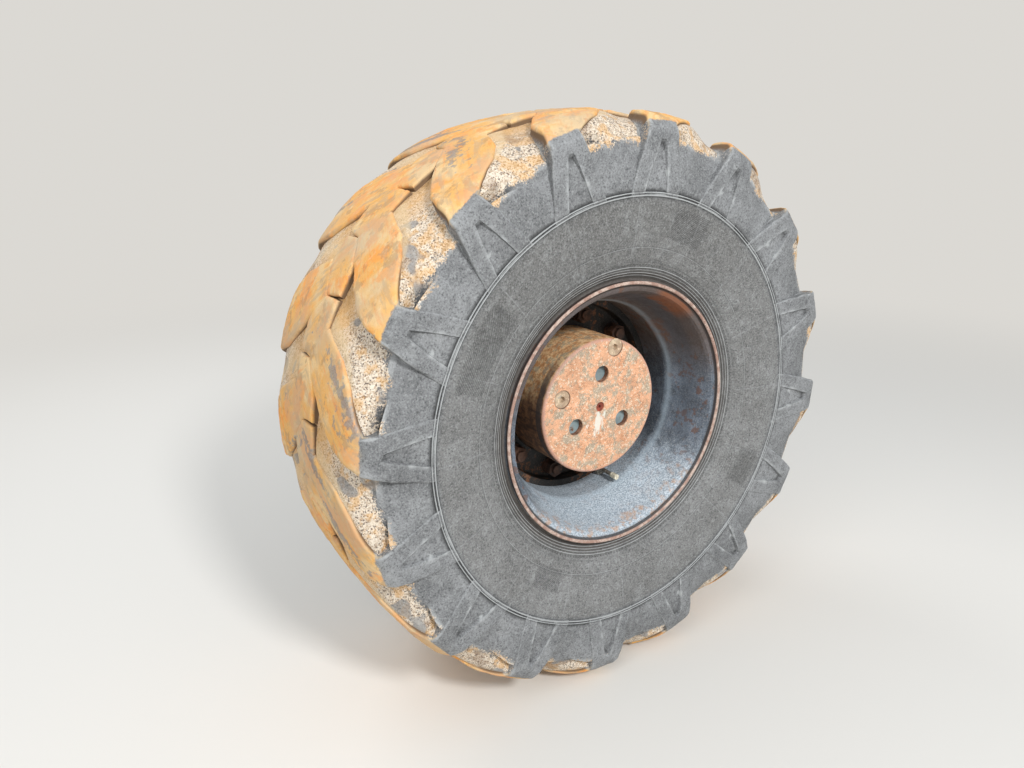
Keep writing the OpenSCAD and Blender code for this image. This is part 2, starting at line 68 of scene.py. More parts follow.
# Outboard places, measured from the wheel's middle plane
RIM_FACE = (WHEEL_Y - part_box("rim_barrel")[0].y) / MM
DRUM_FACE = (WHEEL_Y - drum_low.y) / MM
VALVE_END = (WHEEL_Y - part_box("valve")[0].y) / MM


class TyreSizes(bpy.types.PropertyGroup):
    """Sizes of the tyre that a user may change"""

    lugs: IntProperty(name="Lugs", description="Lugs on each side of the tread", default=16, min=12, max=20)
    lug_depth: FloatProperty(
        name="Lug depth", description="Height of the lugs over the floor", default=26 * MM, unit="LENGTH"
    )
    cell: FloatProperty(
        name="Cell", description="Size of the mesh's cells on the lugs", default=9 * MM, min=5 * MM, unit="LENGTH"
    )
    wear: FloatProperty(
        name="Wear", description="Depth of the wear on lugs and blocks", default=1.1 * MM, unit="LENGTH"
    )
    first_tip: FloatProperty(
        name="First tip", description="Angle of the first outboard lug's tip, from +X towards +Z",
        default=163.5 * DEGREE, subtype="ANGLE",
    )


class FinishColours(bpy.types.PropertyGroup):
    """Colours of the finishes, as the eye sees them"""

    rubber: FloatVectorProperty(
        name="Rubber", description="Dusty grey rubber", subtype="COLOR_GAMMA", default=(0.485, 0.49, 0.495)
    )
    mud: FloatVectorProperty(
        name="Mud", description="Dried yellow mud", subtype="COLOR_GAMMA", default=(0.88, 0.67, 0.38)
    )
    rim_paint: FloatVectorProperty(
        name="Rim paint", description="Dusty blue-grey rim paint", subtype="COLOR_GAMMA",
        default=(0.40, 0.44, 0.49),
    )
    rust: FloatVectorProperty(
        name="Rust", description="Orange rust of the hub", subtype="COLOR_GAMMA", default=(0.82, 0.63, 0.50)
    )
    axle_paint: FloatVectorProperty(
        name="Axle paint", description="Dark paint of the axle", subtype="COLOR_GAMMA",
        default=(0.21, 0.22, 0.23),
    )


class StageSettings(bpy.types.PropertyGroup):
    """Camera and floor"""

    camera_turn: FloatProperty(
        name="Camera azimuth", description="0 looks along +Y", default=-32.07 * DEGREE, subtype="ANGLE"
    )
    camera_lift: FloatProperty(
        name="Camera elevation", description="How far the camera looks down", default=17.86 * DEGREE,
        subtype="ANGLE",
    )
    camera_roll: FloatProperty(
        name="Camera roll", description="Turn about the line of sight", default=-0.48 * DEGREE, subtype="ANGLE"
    )
    camera_place: FloatVectorProperty(
        name="Camera place", description="Place of the camera", subtype="TRANSLATION", unit="LENGTH",
        default=(-0.9127, WHEEL_Y - 1.2463, 0.5128),
    )
    focal_length: FloatProperty(
        name="Focal length", description="Of the lens, in millimetres", default=27.05, unit="CAMERA"
    )
    floor_colour: FloatVectorProperty(
        name="Floor", description="Colour of floor and backdrop", subtype="COLOR_GAMMA",
        default=(0.86, 0.85, 0.83),
    )


# Modelling helpers

# Points closer than this are one point
WELD = 0.02 * MM
SMOOTH_ANGLE = 35 * DEGREE


def new_piece(name):
    """A mesh of one vertex at the origin, in edit mode, ready to be extruded along an outline."""
    bpy.ops.object.select_all(action="DESELECT")
    bpy.ops.mesh.primitive_plane_add(size=MM)
    piece = bpy.context.object
    piece.name = name
    piece.data.name = name
    bpy.ops.object.mode_set(mode="EDIT")
    bpy.ops.mesh.select_mode(type="VERT")
    bpy.ops.mesh.select_all(action="SELECT")
    bpy.ops.mesh.merge(type="CENTER")
    return piece


def draw_outline(points):
    """Moves the only vertex to the first point and extrudes it round a closed outline."""
    points = [Vector(p) for p in points]
    bpy.ops.transform.translate(value=points[0])
    for here, there in zip(points, points[1:] + points[:1]):
        bpy.ops.mesh.extrude_vertices_move(TRANSFORM_OT_translate={"value": there - here})
    bpy.ops.mesh.select_all(action="SELECT")
    bpy.ops.mesh.remove_doubles(threshold=WELD)


def turned_piece(name, profile, steps):
    """A closed profile of (radius, outboard place) turned about the wheel's axis."""
    piece = new_piece(name)
    draw_outline([(r * MM, WHEEL_Y - place * MM, 0) for r, place in profile])
    bpy.ops.mesh.spin(steps=steps, angle=2 * math.pi, center=WHEEL_CENTRE, axis=(0, 1, 0))
    bpy.ops.mesh.select_all(action="SELECT")
    bpy.ops.mesh.remove_doubles(threshold=WELD)
    bpy.ops.mesh.normals_make_consistent(inside=False)
    bpy.ops.object.mode_set(mode="OBJECT")
    return piece


def pick_faces(piece, wanted):
    """Selects only the faces whose middle passes the test."""
    bpy.ops.mesh.select_mode(type="FACE")
    bpy.ops.mesh.select_all(action="DESELECT")
    mesh = bmesh.from_edit_mesh(piece.data)
    for face in [face for face in mesh.faces if wanted(face.calc_center_median())]:
        face.select_set(True)
    bmesh.update_edit_mesh(piece.data)


def cut(place, direction):
    """Cuts all of the mesh by a plane and keeps both sides."""
    bpy.ops.mesh.select_all(action="SELECT")
    bpy.ops.mesh.bisect(plane_co=place, plane_no=direction)


def select_only(*pieces):
    """Selects these pieces alone and makes the first one active."""
    bpy.ops.object.select_all(action="DESELECT")
    for piece in pieces:
        piece.select_set(True)
    bpy.context.view_layer.objects.active = pieces[0]


def face_outward(piece):
    """Points all faces outwards."""
    select_only(piece)
    bpy.ops.object.mode_set(mode="EDIT")
    bpy.ops.mesh.select_all(action="SELECT")
    bpy.ops.mesh.normals_make_consistent(inside=False)
    bpy.ops.object.mode_set(mode="OBJECT")


def own_copy(piece):
    """A copy of a piece with its own mesh."""
    twin = piece.copy()
    twin.data = piece.data.copy()
    bpy.context.collection.objects.link(twin)
    return twin


def mirrored(piece):
    """A copy of a piece on the other side of the wheel's middle plane."""
    twin = own_copy(piece)
    for vertex in twin.data.vertices:
        vertex.co.y = 2 * WHEEL_Y - vertex.co.y
    face_outward(twin)
    return twin


def join(piece, *others):
    """Joins the others into the first piece."""
    select_only(piece, *others)
    bpy.ops.object.join()


def about_wheel(angle):
    """Turn about the wheel's axis, from +X towards +Z, by an angle in radians."""
    turn = Matrix.Rotation(-angle, 4, "Y")
    return Matrix.Translation(WHEEL_CENTRE) @ turn @ Matrix.Translation(-WHEEL_CENTRE)


def ring_of_copies(piece, angles):
    """Copies of a piece turned about the wheel's axis and joined into one."""
    twins = [own_copy(piece) for _ in angles[1:]]
    for copy, angle in zip([piece, *twins], angles):
        copy.data.transform(about_wheel(angle))
    join(piece, *twins)


def settle(piece, finish):
    """Smooths a finished piece of the tyre, says what carries it and replaces the plain solid by it."""
    select_only(piece)
    bpy.ops.object.shade_smooth_by_angle(angle=SMOOTH_ANGLE)
    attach(piece, "wheel")
    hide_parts("tyre")
    piece.data.materials.append(finish)


def smooth_path(rows, station):
    """The (radius, place) at a station of a smooth line through rows of (station, radius, place)."""
    last = len(rows) - 2
    i = 0
    while i < last and station > rows[i + 1][0]:
        i += 1
    before, here, there, after = rows[max(i - 1, 0)], rows[i], rows[i + 1], rows[min(i + 2, last + 1)]
    span = there[0] - here[0]
    t = (station - here[0]) / span
    found = []
    for axis in (1, 2):
        slope_here = (there[axis] - before[axis]) / (there[0] - before[0]) * span
        slope_there = (after[axis] - here[axis]) / (after[0] - here[0]) * span
        found.append(
            (2 * t**3 - 3 * t**2 + 1) * here[axis]
            + (t**3 - 2 * t**2 + t) * slope_here
            + (3 * t**2 - 2 * t**3) * there[axis]
            + (t**3 - t**2) * slope_there
        )
    return found


def row_value(rows, station, column=1):
    """Value in a column of a table at a station, on straight lines between the rows."""
    if station <= rows[0][0]:
        return rows[0][column]
    for here, there in zip(rows, rows[1:]):
        if station <= there[0]:
            return here[column] + (there[column] - here[column]) * (station - here[0]) / (there[0] - here[0])
    return rows[-1][column]


def rough(point, size, octaves=3):
    """Noise between about -1 and 1 with bumps of the given size in millimetres."""
    return noise.fractal(Vector(point) / (size * MM), 0.9, 2.0, octaves)


# Sizes of the bumps that wear and dried mud make, and how deep the fine ones are beside the broad ones
BROAD_BUMPS, FINE_BUMPS = 34, 9
FINE_SHARE = 0.5


def wear(piece, depth):
    """Moves every vertex a little along its normal by broad and fine noise."""
    normals = [v.normal.copy() for v in piece.data.vertices]
    for vertex, normal in zip(piece.data.vertices, normals):
        amount = rough(vertex.co, BROAD_BUMPS) + FINE_SHARE * rough(vertex.co, FINE_BUMPS, 2)
        vertex.co += normal * amount * depth


# Tyre: the lug tops and the floor between the lugs, from the middle of the tread over the
# shoulder to the rib on the sidewall. Rows: station along the profile, radius, outboard place
TOP_ROWS = [
    (0, 562, 0), (60, 561.4, 60), (120, 558.8, 120), (170, 554.6, 169.5), (188, 550.6, 187), (200, 545.6, 198),
    (208, 540.8, 205.2), (215, 536, 210.2), (222, 530.2, 214), (230, 523.6, 216.8), (250, 510.5, 218.4),
    (282, 480, 218.2), (320, 442.5, 216.2), (352, 411, 213.6), (370, 393, 212.4),
]
FLOOR_ROWS = [
    (0, 550, 0), (60, 549.6, 60), (100, 548.2, 99), (140, 543.5, 137), (170, 536.5, 161.5), (188, 531, 174.5),
    (200, 526.5, 183.5), (208, 521, 189), (215, 515.5, 193.5), (222, 510, 197.5), (230, 503, 201.5),
    (250, 490, 206.5), (282, 466, 210.5), (320, 438, 212.4), (352, 411, 212.4), (370, 393, 212),
]
# Stations at which the mesh of the floor has a ring of points
FLOOR_STATIONS = [0, 30, 60, 80, 100, *range(110, 346, 8)]
# Depth of the void between two lugs, as a share of the depth in the rows above: it is deep behind a lug,
# stays so for the first part of the way and then comes up towards the next lug
VOID_BEHIND = 1.2
VOID_AHEAD = 0.3
VOID_DEEP_PART = 0.25
# How much of that swing there is at a station
SWING_ROWS = [(40, 0), (60, 1), (275, 1), (320, 0.3), (345, 0)]
# Share of the void that mud fills on the inboard side, at a station
FILL_ROWS = [(0, 0), (60, 0.3), (120, 0.55), (190, 0.55), (235, 0)]

# Sidewall below the rib: an arc, given by its radius, the tyre's radius where it bulges most, and its place there
SIDE_ARC = 400
SIDE_ARC_MIDDLE = 430
SIDE_PLACE = 213
SIDE_RADII = range(404, 266, -6)
# Ridges on the sidewall: radius of the middle, width, height
SIDE_RIDGES = [
    (418.6, 2.4, 1.6), (413.4, 3.4, 2.0), (322, 1.6, 0.5), (296, 2.2, 0.7), (285, 2.6, 1.0), (280, 2.4, 1.0),
    (275, 2.4, 1.0), (270, 2.6, 1.2),
]
# Section of a ridge: share of its width, share of its height
RIDGE_SECTION = [(0.5, 0), (0.22, 1), (-0.22, 1), (-0.5, 0)]
# Bead and inner wall: radius, outboard place
BEAD = [(265, 177.4), (263, 177.6), (252.8, 177.5), (248.2, 172)]
INNER_WALL = [
    (251, 143), (262, 147), (272, 163), (300, 178), (350, 187), (400, 192), (450, 190), (490, 170), (505, 120),
    (509, 60),
]
# Steps round the tyre, a whole number for each lug, and how worn the body is beside the lugs
BODY_STEPS = 384
BODY_WEAR = 0.35

# Lug outline. Rows: station, leading edge, trailing edge, in degrees from the lug's tip
LUG_ROWS = [
    (42, -5.35, 4.35), (52, -5.95, 5.0), (82, -4.6, 8.0), (132, -2.4, 11.9), (170, 1.0, 13.2), (194, 5.0, 13.9),
    (212, 8.2, 14.7), (250, 7.7, 15.6), (282, 6.7, 16.8), (350, 4.5, 19.3),
]
LUG_TIP = 3
# Recess in the lug's side, open towards the rib. Rows as above. Its depth is a share of the lug's height,
# its edge is the width of its sloping walls, and its margin is kept free before the last station
RECESS_ROWS = [(252, 11.0, 12.2), (350, 8.2, 15.7)]
RECESS_DEPTH = 0.3
RECESS_EDGE = 1.4
RECESS_MARGIN = 3
# Centre block, from an outboard lug's tip to the next inboard one: degrees, station
BLOCK_CORNERS = [(0.35, 4), (4.75, 42.5), (10.3, 42.5), (10.95, 0), (10.9, -4), (5.9, -42.5), (0.4, -42.5), (0.3, 0)]
# Steps of a block's wall, from its foot under the floor to its top: inset, rise
WALL_STEPS = [
    (1.0, 12), (2.0, 2), (1.5, 3), (1.1, 6), (0.8, 8), (0.8, 3), (1.3, 2.2), (2.0, 1.3), (2.2, 0.5),
]
WALL_INSET = sum(inset for inset, rise in WALL_STEPS)
WALL_HEIGHT = sum(rise for inset, rise in WALL_STEPS)
# How far a block's foot lies under the floor
SUNK = 12
# Part of the inset that rounds the top edge, inside the outline
EDGE_INSET = 3.4
# A corner of a grown outline moves out by at most twice the distance
SHARPEST_CORNER = 0.5


def side_place(radius):
    """Outboard place of the sidewall at a radius."""
    return SIDE_PLACE - SIDE_ARC + math.sqrt(SIDE_ARC**2 - (radius - SIDE_ARC_MIDDLE) ** 2)


def millimetres(length):
    """A length from a property, to the micrometre, because a property holds 9 mm as 8.9999996."""
    return round(length / MM, 3)


def rolled_out(degrees, station):
    """A place on the unrolled tread, in millimetres: along the tread, across it."""
    return Vector((degrees * DEGREE * TYRE_RADIUS, station))


def grown(points, distance):
    """A closed outline, anticlockwise, moved outwards by a distance."""
    moved = []
    for before, here, after in zip(points[-1:] + points[:-1], points, points[1:] + points[:1]):
        first = (here - before).normalized()
        second = (after - here).normalized()
        out = Vector((first.y + second.y, -first.x - second.x)).normalized()
        moved.append(here + out * distance / max(out.dot(Vector((first.y, -first.x))), SHARPEST_CORNER))
    return moved


def raised_block(name, outline, cell):
    """A block on the unrolled tread with a flared foot, sloping walls and a rounded top edge."""
    area = sum(a.x * b.y - b.x * a.y for a, b in zip(outline, outline[1:] + outline[:1]))
    if area < 0:
        outline = outline[::-1]
    foot = grown(outline, WALL_INSET - EDGE_INSET)
    piece = new_piece(name)
    draw_outline([(p.x * MM, p.y * MM, 0) for p in foot])
    bpy.ops.mesh.edge_face_add()
    pick_faces(piece, lambda middle: True)
    if bmesh.from_edit_mesh(piece.data).faces[:][0].normal.z < 0:
        bpy.ops.mesh.flip_normals()
    for inset, rise in WALL_STEPS:
        bpy.ops.mesh.inset(thickness=inset * MM, depth=rise * MM, use_even_offset=True)
    for direction in (Vector((1, 0, 0)), Vector((0, 1, 0))):
        reaches = [direction.xy.dot(point) for point in foot]
        for i in range(1, math.ceil((max(reaches) - min(reaches)) / cell)):
            cut(direction * (min(reaches) + i * cell) * MM, direction)
    return piece


def close_foot(piece):
    """Closes the open underside of a block with one face."""
    bpy.ops.mesh.select_mode(type="EDGE")
    bpy.ops.mesh.select_all(action="DESELECT")
    mesh = bmesh.from_edit_mesh(piece.data)
    for edge in [edge for edge in mesh.edges if edge.is_boundary]:
        edge.select_set(True)
    bmesh.update_edit_mesh(piece.data)
    bpy.ops.mesh.edge_face_add()


def wrap_on_tyre(piece, lug_depth):
    """Closes an unrolled block and rolls it onto the tyre: it runs from under the floor to the lug's top."""
    close_foot(piece)
    bpy.ops.object.mode_set(mode="OBJECT")
    full = lug_depth + SUNK * MM
    for vertex in piece.data.vertices:
        along, station, height = vertex.co
        angle = along / MM / TYRE_RADIUS
        station = station / MM
        side = -1 if station < 0 else 1
        top = smooth_path(TOP_ROWS, abs(station))
        floor = smooth_path(FLOOR_ROWS, abs(station))
        ahead = smooth_path(FLOOR_ROWS, abs(station) + 1)
        under = Vector((ahead[1] - floor[1], floor[0] - ahead[0])).normalized() * -SUNK
        share = height / full
        radius = floor[0] + under.x + (top[0] - floor[0] - under.x) * share
        place = floor[1] + under.y + (top[1] - floor[1] - under.y) * share
        vertex.co = (
            radius * math.cos(angle) * MM, WHEEL_Y - side * place * MM, radius * math.sin(angle) * MM
        )
    face_outward(piece)


def lug_angles(sizes, shift=0.0):
    """Angles of the lugs' tips round one side of the tread, moved on by a share of the pitch."""
    pitch = 2 * math.pi / sizes.lugs
    return [sizes.first_tip + (i + shift) * pitch for i in range(sizes.lugs)]


class WHEEL_OT_lugs(bpy.types.Operator):
    """Models one lug, wraps it on the tyre and copies it round both sides"""

    bl_idname = "wheel.lugs"
    bl_label = "Tread lugs"

    def execute(self, context):
        sizes = context.scene.tyre_sizes
        outline = [rolled_out(0, LUG_TIP)]
        outline += [rolled_out(trailing, station) for station, leading, trailing in LUG_ROWS]
        outline += [rolled_out(leading, station) for station, leading, trailing in reversed(LUG_ROWS)]
        outboard = raised_block("tread_lugs_outboard", outline, millimetres(sizes.cell))
        self.recess(outboard)
        wrap_on_tyre(outboard, sizes.lug_depth)
        inboard = mirrored(outboard)
        inboard.name = "tread_lugs_inboard"
        ring_of_copies(outboard, lug_angles(sizes))
        ring_of_copies(inboard, lug_angles(sizes, 0.5))
        for piece in (outboard, inboard):
            wear(piece, sizes.wear)
            settle(piece, tyre_finish("muddy_rubber", sand=False))
        return {"FINISHED"}

    def recess(self, lug):
        """Sinks the triangle between the two legs of the lug's side."""
        (apex, left, right), (end, left_end, right_end) = RECESS_ROWS
        sides = [(rolled_out(left, apex), rolled_out(left_end, end)),
                 (rolled_out(right, apex), rolled_out(right_end, end))]
        for start, stop in sides:
            run = stop - start
            cut((start.x * MM, start.y * MM, 0), Vector((run.y, -run.x, 0)).normalized())
        cut((0, apex * MM, 0), (0, 1, 0))

        def between(middle):
            """Whether a face's middle lies on the lug's top and between the two legs."""
            if middle.z < (WALL_HEIGHT - 0.1) * MM or not apex < middle.y / MM < end - RECESS_MARGIN:
                return False
            share = (middle.y / MM - apex) / (end - apex)
            edges = [(start + (stop - start) * share).x for start, stop in sides]
            return min(edges) < middle.x / MM < max(edges)

        pick_faces(lug, between)
        bpy.ops.mesh.inset(thickness=RECESS_EDGE * MM, depth=-RECESS_DEPTH * WALL_HEIGHT * MM, use_even_offset=True)


class WHEEL_OT_blocks(bpy.types.Operator):
    """Models the two kinds of block in the middle of the tread and copies them round"""

    bl_idname = "wheel.blocks"
    bl_label = "Centre blocks"

    def execute(self, context):
        sizes = context.scene.tyre_sizes
        outline = [rolled_out(*corner) for corner in BLOCK_CORNERS]
        blocks = raised_block("tread_blocks", outline, millimetres(sizes.cell))
        wrap_on_tyre(blocks, sizes.lug_depth)
        other = mirrored(blocks)
        other.data.transform(about_wheel(math.pi / sizes.lugs))
        join(blocks, other)
        ring_of_copies(blocks, lug_angles(sizes))
        wear(blocks, sizes.wear)
        settle(blocks, tyre_finish("muddy_rubber", sand=False))
        return {"FINISHED"}


class WHEEL_OT_carcass(bpy.types.Operator):
    """Turns the tyre's body: floor of the tread, sidewalls with their rings, and beads"""

    bl_idname = "wheel.carcass"
    bl_label = "Tyre body"

    def execute(self, context):
        sizes = context.scene.tyre_sizes
        floor = [(station, *smooth_path(FLOOR_ROWS, station)) for station in FLOOR_STATIONS]
        side = {float(r): side_place(r) for r in SIDE_RADII}
        for middle, width, height in SIDE_RIDGES:
            for offset, share in RIDGE_SECTION:
                r = middle + offset * width
                side[r] = side_place(r) + height * share
        half = [(radius, place) for station, radius, place in floor]
        half += sorted(side.items(), reverse=True) + BEAD
        outline = (
            [(r, -place) for r, place in reversed(half[1:])] + half
            + INNER_WALL + [(r, -place) for r, place in reversed(INNER_WALL)]
        )
        carcass = turned_piece("tyre_body", outline, BODY_STEPS)
        self.scoop(carcass, floor, sizes.first_tip / DEGREE, 360 / sizes.lugs)
        wear(carcass, BODY_WEAR * sizes.wear)
        settle(carcass, tyre_finish("muddy_rubber_floor", sand=True))
        return {"FINISHED"}

    def scoop(self, carcass, floor, first_tip, pitch):
        """Deepens the void behind each lug and brings it up towards the next one."""
        swings = {}
        for station, radius, place in floor:
            shares = row_value(SWING_ROWS, station), row_value(FILL_ROWS, station)
            edges = row_value(LUG_ROWS, station), row_value(LUG_ROWS, station, 2)
            swings[round(radius), round(place)] = shares, edges, smooth_path(TOP_ROWS, station)
        for vertex in carcass.data.vertices:
            place = (WHEEL_Y - vertex.co.y) / MM
            radius = math.hypot(vertex.co.x, vertex.co.z) / MM
            if (round(radius), round(abs(place))) not in swings:
                continue
            (swing, fill), (leading, trailing), top = swings[round(radius), round(abs(place))]
            angle = math.atan2(vertex.co.z, vertex.co.x) / DEGREE - first_tip - (0 if place > 0 else pitch / 2)
            along = (angle - trailing) % pitch
            gap = pitch + leading - trailing
            if along < gap:
                ahead = max(along / gap - VOID_DEEP_PART, 0) / (1 - VOID_DEEP_PART)
            else:
                ahead = (pitch - along) / (pitch - gap)
            ahead = ahead * ahead * (3 - 2 * ahead)
            rise = swing * (1 - VOID_BEHIND - (VOID_AHEAD - VOID_BEHIND) * ahead)
            if place < 0:
                rise += fill * (1 - rise)
            outwards = 1 + (top[0] - radius) / radius * rise
            vertex.co.x *= outwards
            vertex.co.z *= outwards
            vertex.co.y = WHEEL_Y - math.copysign(abs(place) + (top[1] - abs(place)) * rise, place) * MM


# Materials. Their tones are colours as the eye sees them


def linear(colour):
    """The shader's colour for one that is given as the eye sees it."""
    return tuple(c / 12.92 if c <= 0.04045 else ((c + 0.055) / 1.055) ** 2.4 for c in colour) + (1.0,)


def scaled(colour, share):
    """A colour made darker or lighter."""
    return tuple(min(part * share, 1.0) for part in colour)


class Finish:
    """One procedural material, built node by node on the piece's own coordinates."""

    def __init__(self, name, roughness=0.7, metallic=0.0, specular=0.5):
        self.material = bpy.data.materials.new(name)
        self.material.use_nodes = True
        self.nodes = self.material.node_tree.nodes
        self.links = self.material.node_tree.links
        self.shader = self.nodes["Principled BSDF"]
        self.shader.inputs["Roughness"].default_value = roughness
        self.shader.inputs["Metallic"].default_value = metallic
        self.shader.inputs["Specular IOR Level"].default_value = specular
        self.object = self.nodes.new("ShaderNodeTexCoord").outputs["Object"]

    def feed(self, socket, value):
        """Links a socket to an input, or writes a plain value there."""
        if isinstance(value, bpy.types.NodeSocket):
            self.links.new(value, socket)
        else:
            socket.default_value = value

    def feed_colour(self, socket, value):
        """Links a colour socket to an input, or writes a tone there."""
        self.feed(socket, value if isinstance(value, bpy.types.NodeSocket) else linear(value))

    def math(self, operation, a, b=0.0):
        """The result of a Math node."""
        node = self.nodes.new("ShaderNodeMath")
        node.operation = operation
        self.feed(node.inputs[0], a)
        self.feed(node.inputs[1], b)
        return node.outputs[0]

    def add(self, a, b):
        return self.math("ADD", a, b)

    def minus(self, a, b):
        return self.math("SUBTRACT", a, b)

    def times(self, a, b):
        return self.math("MULTIPLY", a, b)

    def length(self, a, b):
        """Distance that two distances at right angles make."""
        return self.math("SQRT", self.add(self.times(a, a), self.times(b, b)))

    def ramp(self, value, start, end):
        """0 below start, 1 above end, and smooth between. Start may be the larger one."""
        node = self.nodes.new("ShaderNodeMapRange")
        node.interpolation_type = "SMOOTHSTEP"
        self.feed(node.inputs["Value"], value)
        self.feed(node.inputs["From Min"], start)
        self.feed(node.inputs["From Max"], end)
        return node.outputs["Result"]

    def within(self, value, start, end, edge):
        """1 between start and end and 0 outside, with soft edges."""
        return self.times(self.ramp(value, start - edge, start + edge), self.ramp(value, end + edge, end - edge))

    def rings(self, radius, rows):
        """1 in each of some rings. Rows: inner radius, outer radius, soft edge."""
        found = 0.0
        for row in rows:
            found = self.add(found, self.within(radius, *row))
        return found

    def from_centre(self, stretch=(1, 1, 1)):
        """Coordinates measured from the wheel's centre, stretched along the axes."""
        node = self.nodes.new("ShaderNodeMapping")
        node.vector_type = "POINT"
        self.feed(node.inputs["Vector"], self.object)
        node.inputs["Location"].default_value = [-c * s for c, s in zip(WHEEL_CENTRE, stretch)]
        node.inputs["Scale"].default_value = stretch
        return node.outputs["Vector"]

    def twisted(self, side):
        """Coordinates in which the slanting lugs lie straight across, shortened along them."""
        node = self.nodes.new("ShaderNodeVectorRotate")
        node.rotation_type = "Y_AXIS"
        self.links.new(self.from_centre((1, 0.22, 1)), node.inputs["Vector"])
        self.links.new(self.times(side, LUG_SLANT * DEGREE), node.inputs["Angle"])
        return node.outputs["Vector"]

    def split(self, vector):
        """The x, y and z of a vector."""
        node = self.nodes.new("ShaderNodeSeparateXYZ")
        self.links.new(vector, node.inputs[0])
        return node.outputs

    def around(self):
        """About the wheel's axis, in millimetres: radius, outboard place, angle in degrees, x and z."""
        x, y, z = (self.times(part, 1 / MM) for part in self.split(self.from_centre()))
        angle = self.times(self.math("ARCTAN2", z, x), 1 / DEGREE)
        return self.length(x, z), self.times(y, -1.0), angle, x, z

    def noise(self, size, detail=3.0, roughness=0.55, vector=None):
        """Noise from 0 to 1 with features of the given size in millimetres."""
        node = self.nodes.new("ShaderNodeTexNoise")
        self.links.new(vector or self.object, node.inputs["Vector"])
        node.inputs["Scale"].default_value = 1 / MM / size
        node.inputs["Detail"].default_value = detail
        node.inputs["Roughness"].default_value = roughness
        return node.outputs["Fac"]

    def cells(self, size):
        """Scattered grains of the given size: distance from a grain's middle, and its own random tone."""
        node = self.nodes.new("ShaderNodeTexVoronoi")
        self.links.new(self.object, node.inputs["Vector"])
        node.inputs["Scale"].default_value = 1 / MM / size
        tone = self.nodes.new("ShaderNodeSeparateColor")
        self.links.new(node.outputs["Color"], tone.inputs[0])
        return node.outputs["Distance"], tone.outputs[0]

    def both(self, a, b, share):
        """Two noises as one, the first with this share and the second with the rest."""
        return self.add(self.times(a, share), self.times(b, 1 - share))

    def ragged(self, measure, bumps, reach):
        """A measure that noise shifts by up to half the reach either way, so an edge set by it wanders."""
        return self.add(measure, self.times(self.minus(bumps, 0.5), reach))

    def mix(self, share, a, b):
        """Colour a where share is 0 and b where it is 1."""
        node = self.nodes.new("ShaderNodeMix")
        node.data_type = "RGBA"
        self.feed(node.inputs[0], share)
        self.feed_colour(node.inputs[6], a)
        self.feed_colour(node.inputs[7], b)
        return node.outputs[2]

    def lay(self, under, tone, strength, where):
        """Lays a tone over a colour, with a strength from 0 to 1, where a mask is 1."""
        return self.mix(self.times(where, strength), under, tone)

    def layers(self, under, rows):
        """Lays tones over a colour, one after the other. Rows: tone, strength, value, its ramp's start and end."""
        for tone, strength, value, start, end in rows:
            under = self.lay(under, tone, strength, self.ramp(value, start, end))
        return under

    def bump(self, height, depth, under=None):
        """Normals of a height from 0 to 1 that is so many millimetres deep."""
        node = self.nodes.new("ShaderNodeBump")
        node.inputs["Distance"].default_value = depth * MM
        self.links.new(height, node.inputs["Height"])
        if under:
            self.links.new(under, node.inputs["Normal"])
        return node.outputs["Normal"]

    def done(self, colour, normal=None, roughness=None):
        """Feeds the shader and returns the material."""
        self.feed_colour(self.shader.inputs["Base Color"], colour)
        if normal:
            self.links.new(normal, self.shader.inputs["Normal"])
        if roughness is not None:
            self.feed(self.shader.inputs["Roughness"], roughness)
        return self.material


# Form of the tread, as the tyre's finish sees it: how much the crown falls to the edge, and the shoulder
CROWN_DROP = 14
SHOULDER_ROUND = 40
SHOULDER_PLACE = TREAD_HALF_WIDTH - SHOULDER_ROUND
# Degrees that a lug moves along the tread for each millimetre across it
LUG_SLANT = 0.065
# Dark lines of dirt and painted shade beside the two large ridges, and pale lines of painted highlight on them: inner
# radius, outer radius, soft edge
SHADED_CREASES = [(415.7, 416.7, 0.5), (410.3, 411.3, 0.5), (420.2, 421.4, 0.6)]
LIT_CRESTS = [(417.8, 419.4, 0.4), (412.4, 414.4, 0.4)]
# Rings with radial seams, with fine dashes and with fine ridges, as above
SEAM_RING = (304, 404, 4)
DASH_RING = (289.2, 291, 0.5)
BEAD_RING = (266, 284, 2)
# Half the pitch of the dashes, in degrees, and of the ridges by the bead
DASH_HALF_PITCH = 0.7
BEAD_HALF_PITCH = 1.7
# Patches of fine slanting ribs on the sidewall: first and last angle in degrees, inner and outer radius. The
# ribs are measured along a circle of this radius, slant by so much along it for each millimetre outwards, and
# half of their pitch is given
RIB_PATCHES = [(138, 162, 332, 392), (64, 77, 340, 398), (-34, -22, 348, 398), (-128, -117, 318, 360)]
RIB_RADIUS = 330
RIB_SLANT = 0.8
RIB_HALF_PITCH = 2.2
# Radii between which sand comes in towards the tread
SAND_FROM, SAND_TO = 484, 522
# The dust tone also paints highlights on the ridges' crests and on convex edges
RUBBER_TONES = {
    "dust": (0.65, 0.66, 0.66),
    "wall dirt": (0.43, 0.42, 0.40),
    "painted top shade": (0.37, 0.365, 0.355),
    "bead dirt": (0.29, 0.26, 0.235),
}
MUD_TONES = {
    "pale": (0.87, 0.74, 0.54),
    "orange": (0.93, 0.60, 0.24),
    "brown": (0.62, 0.49, 0.36),
    "cream": (0.90, 0.82, 0.68),
    "dark specks": (0.55, 0.40, 0.26),
    "grey streaks": (0.66, 0.58, 0.49),
    "orange streaks": (0.88, 0.50, 0.18),
    "grey": (0.73, 0.66, 0.56),
    "foot": (0.43, 0.34, 0.25),
    "cream edge and highlight": (0.86, 0.76, 0.60),
}
SAND_TONES = {
    "dull grain": (0.72, 0.64, 0.55),
    "pale grain": (0.88, 0.83, 0.76),
    "stone": (0.47, 0.42, 0.38),
    "damp": (0.52, 0.42, 0.34),
}


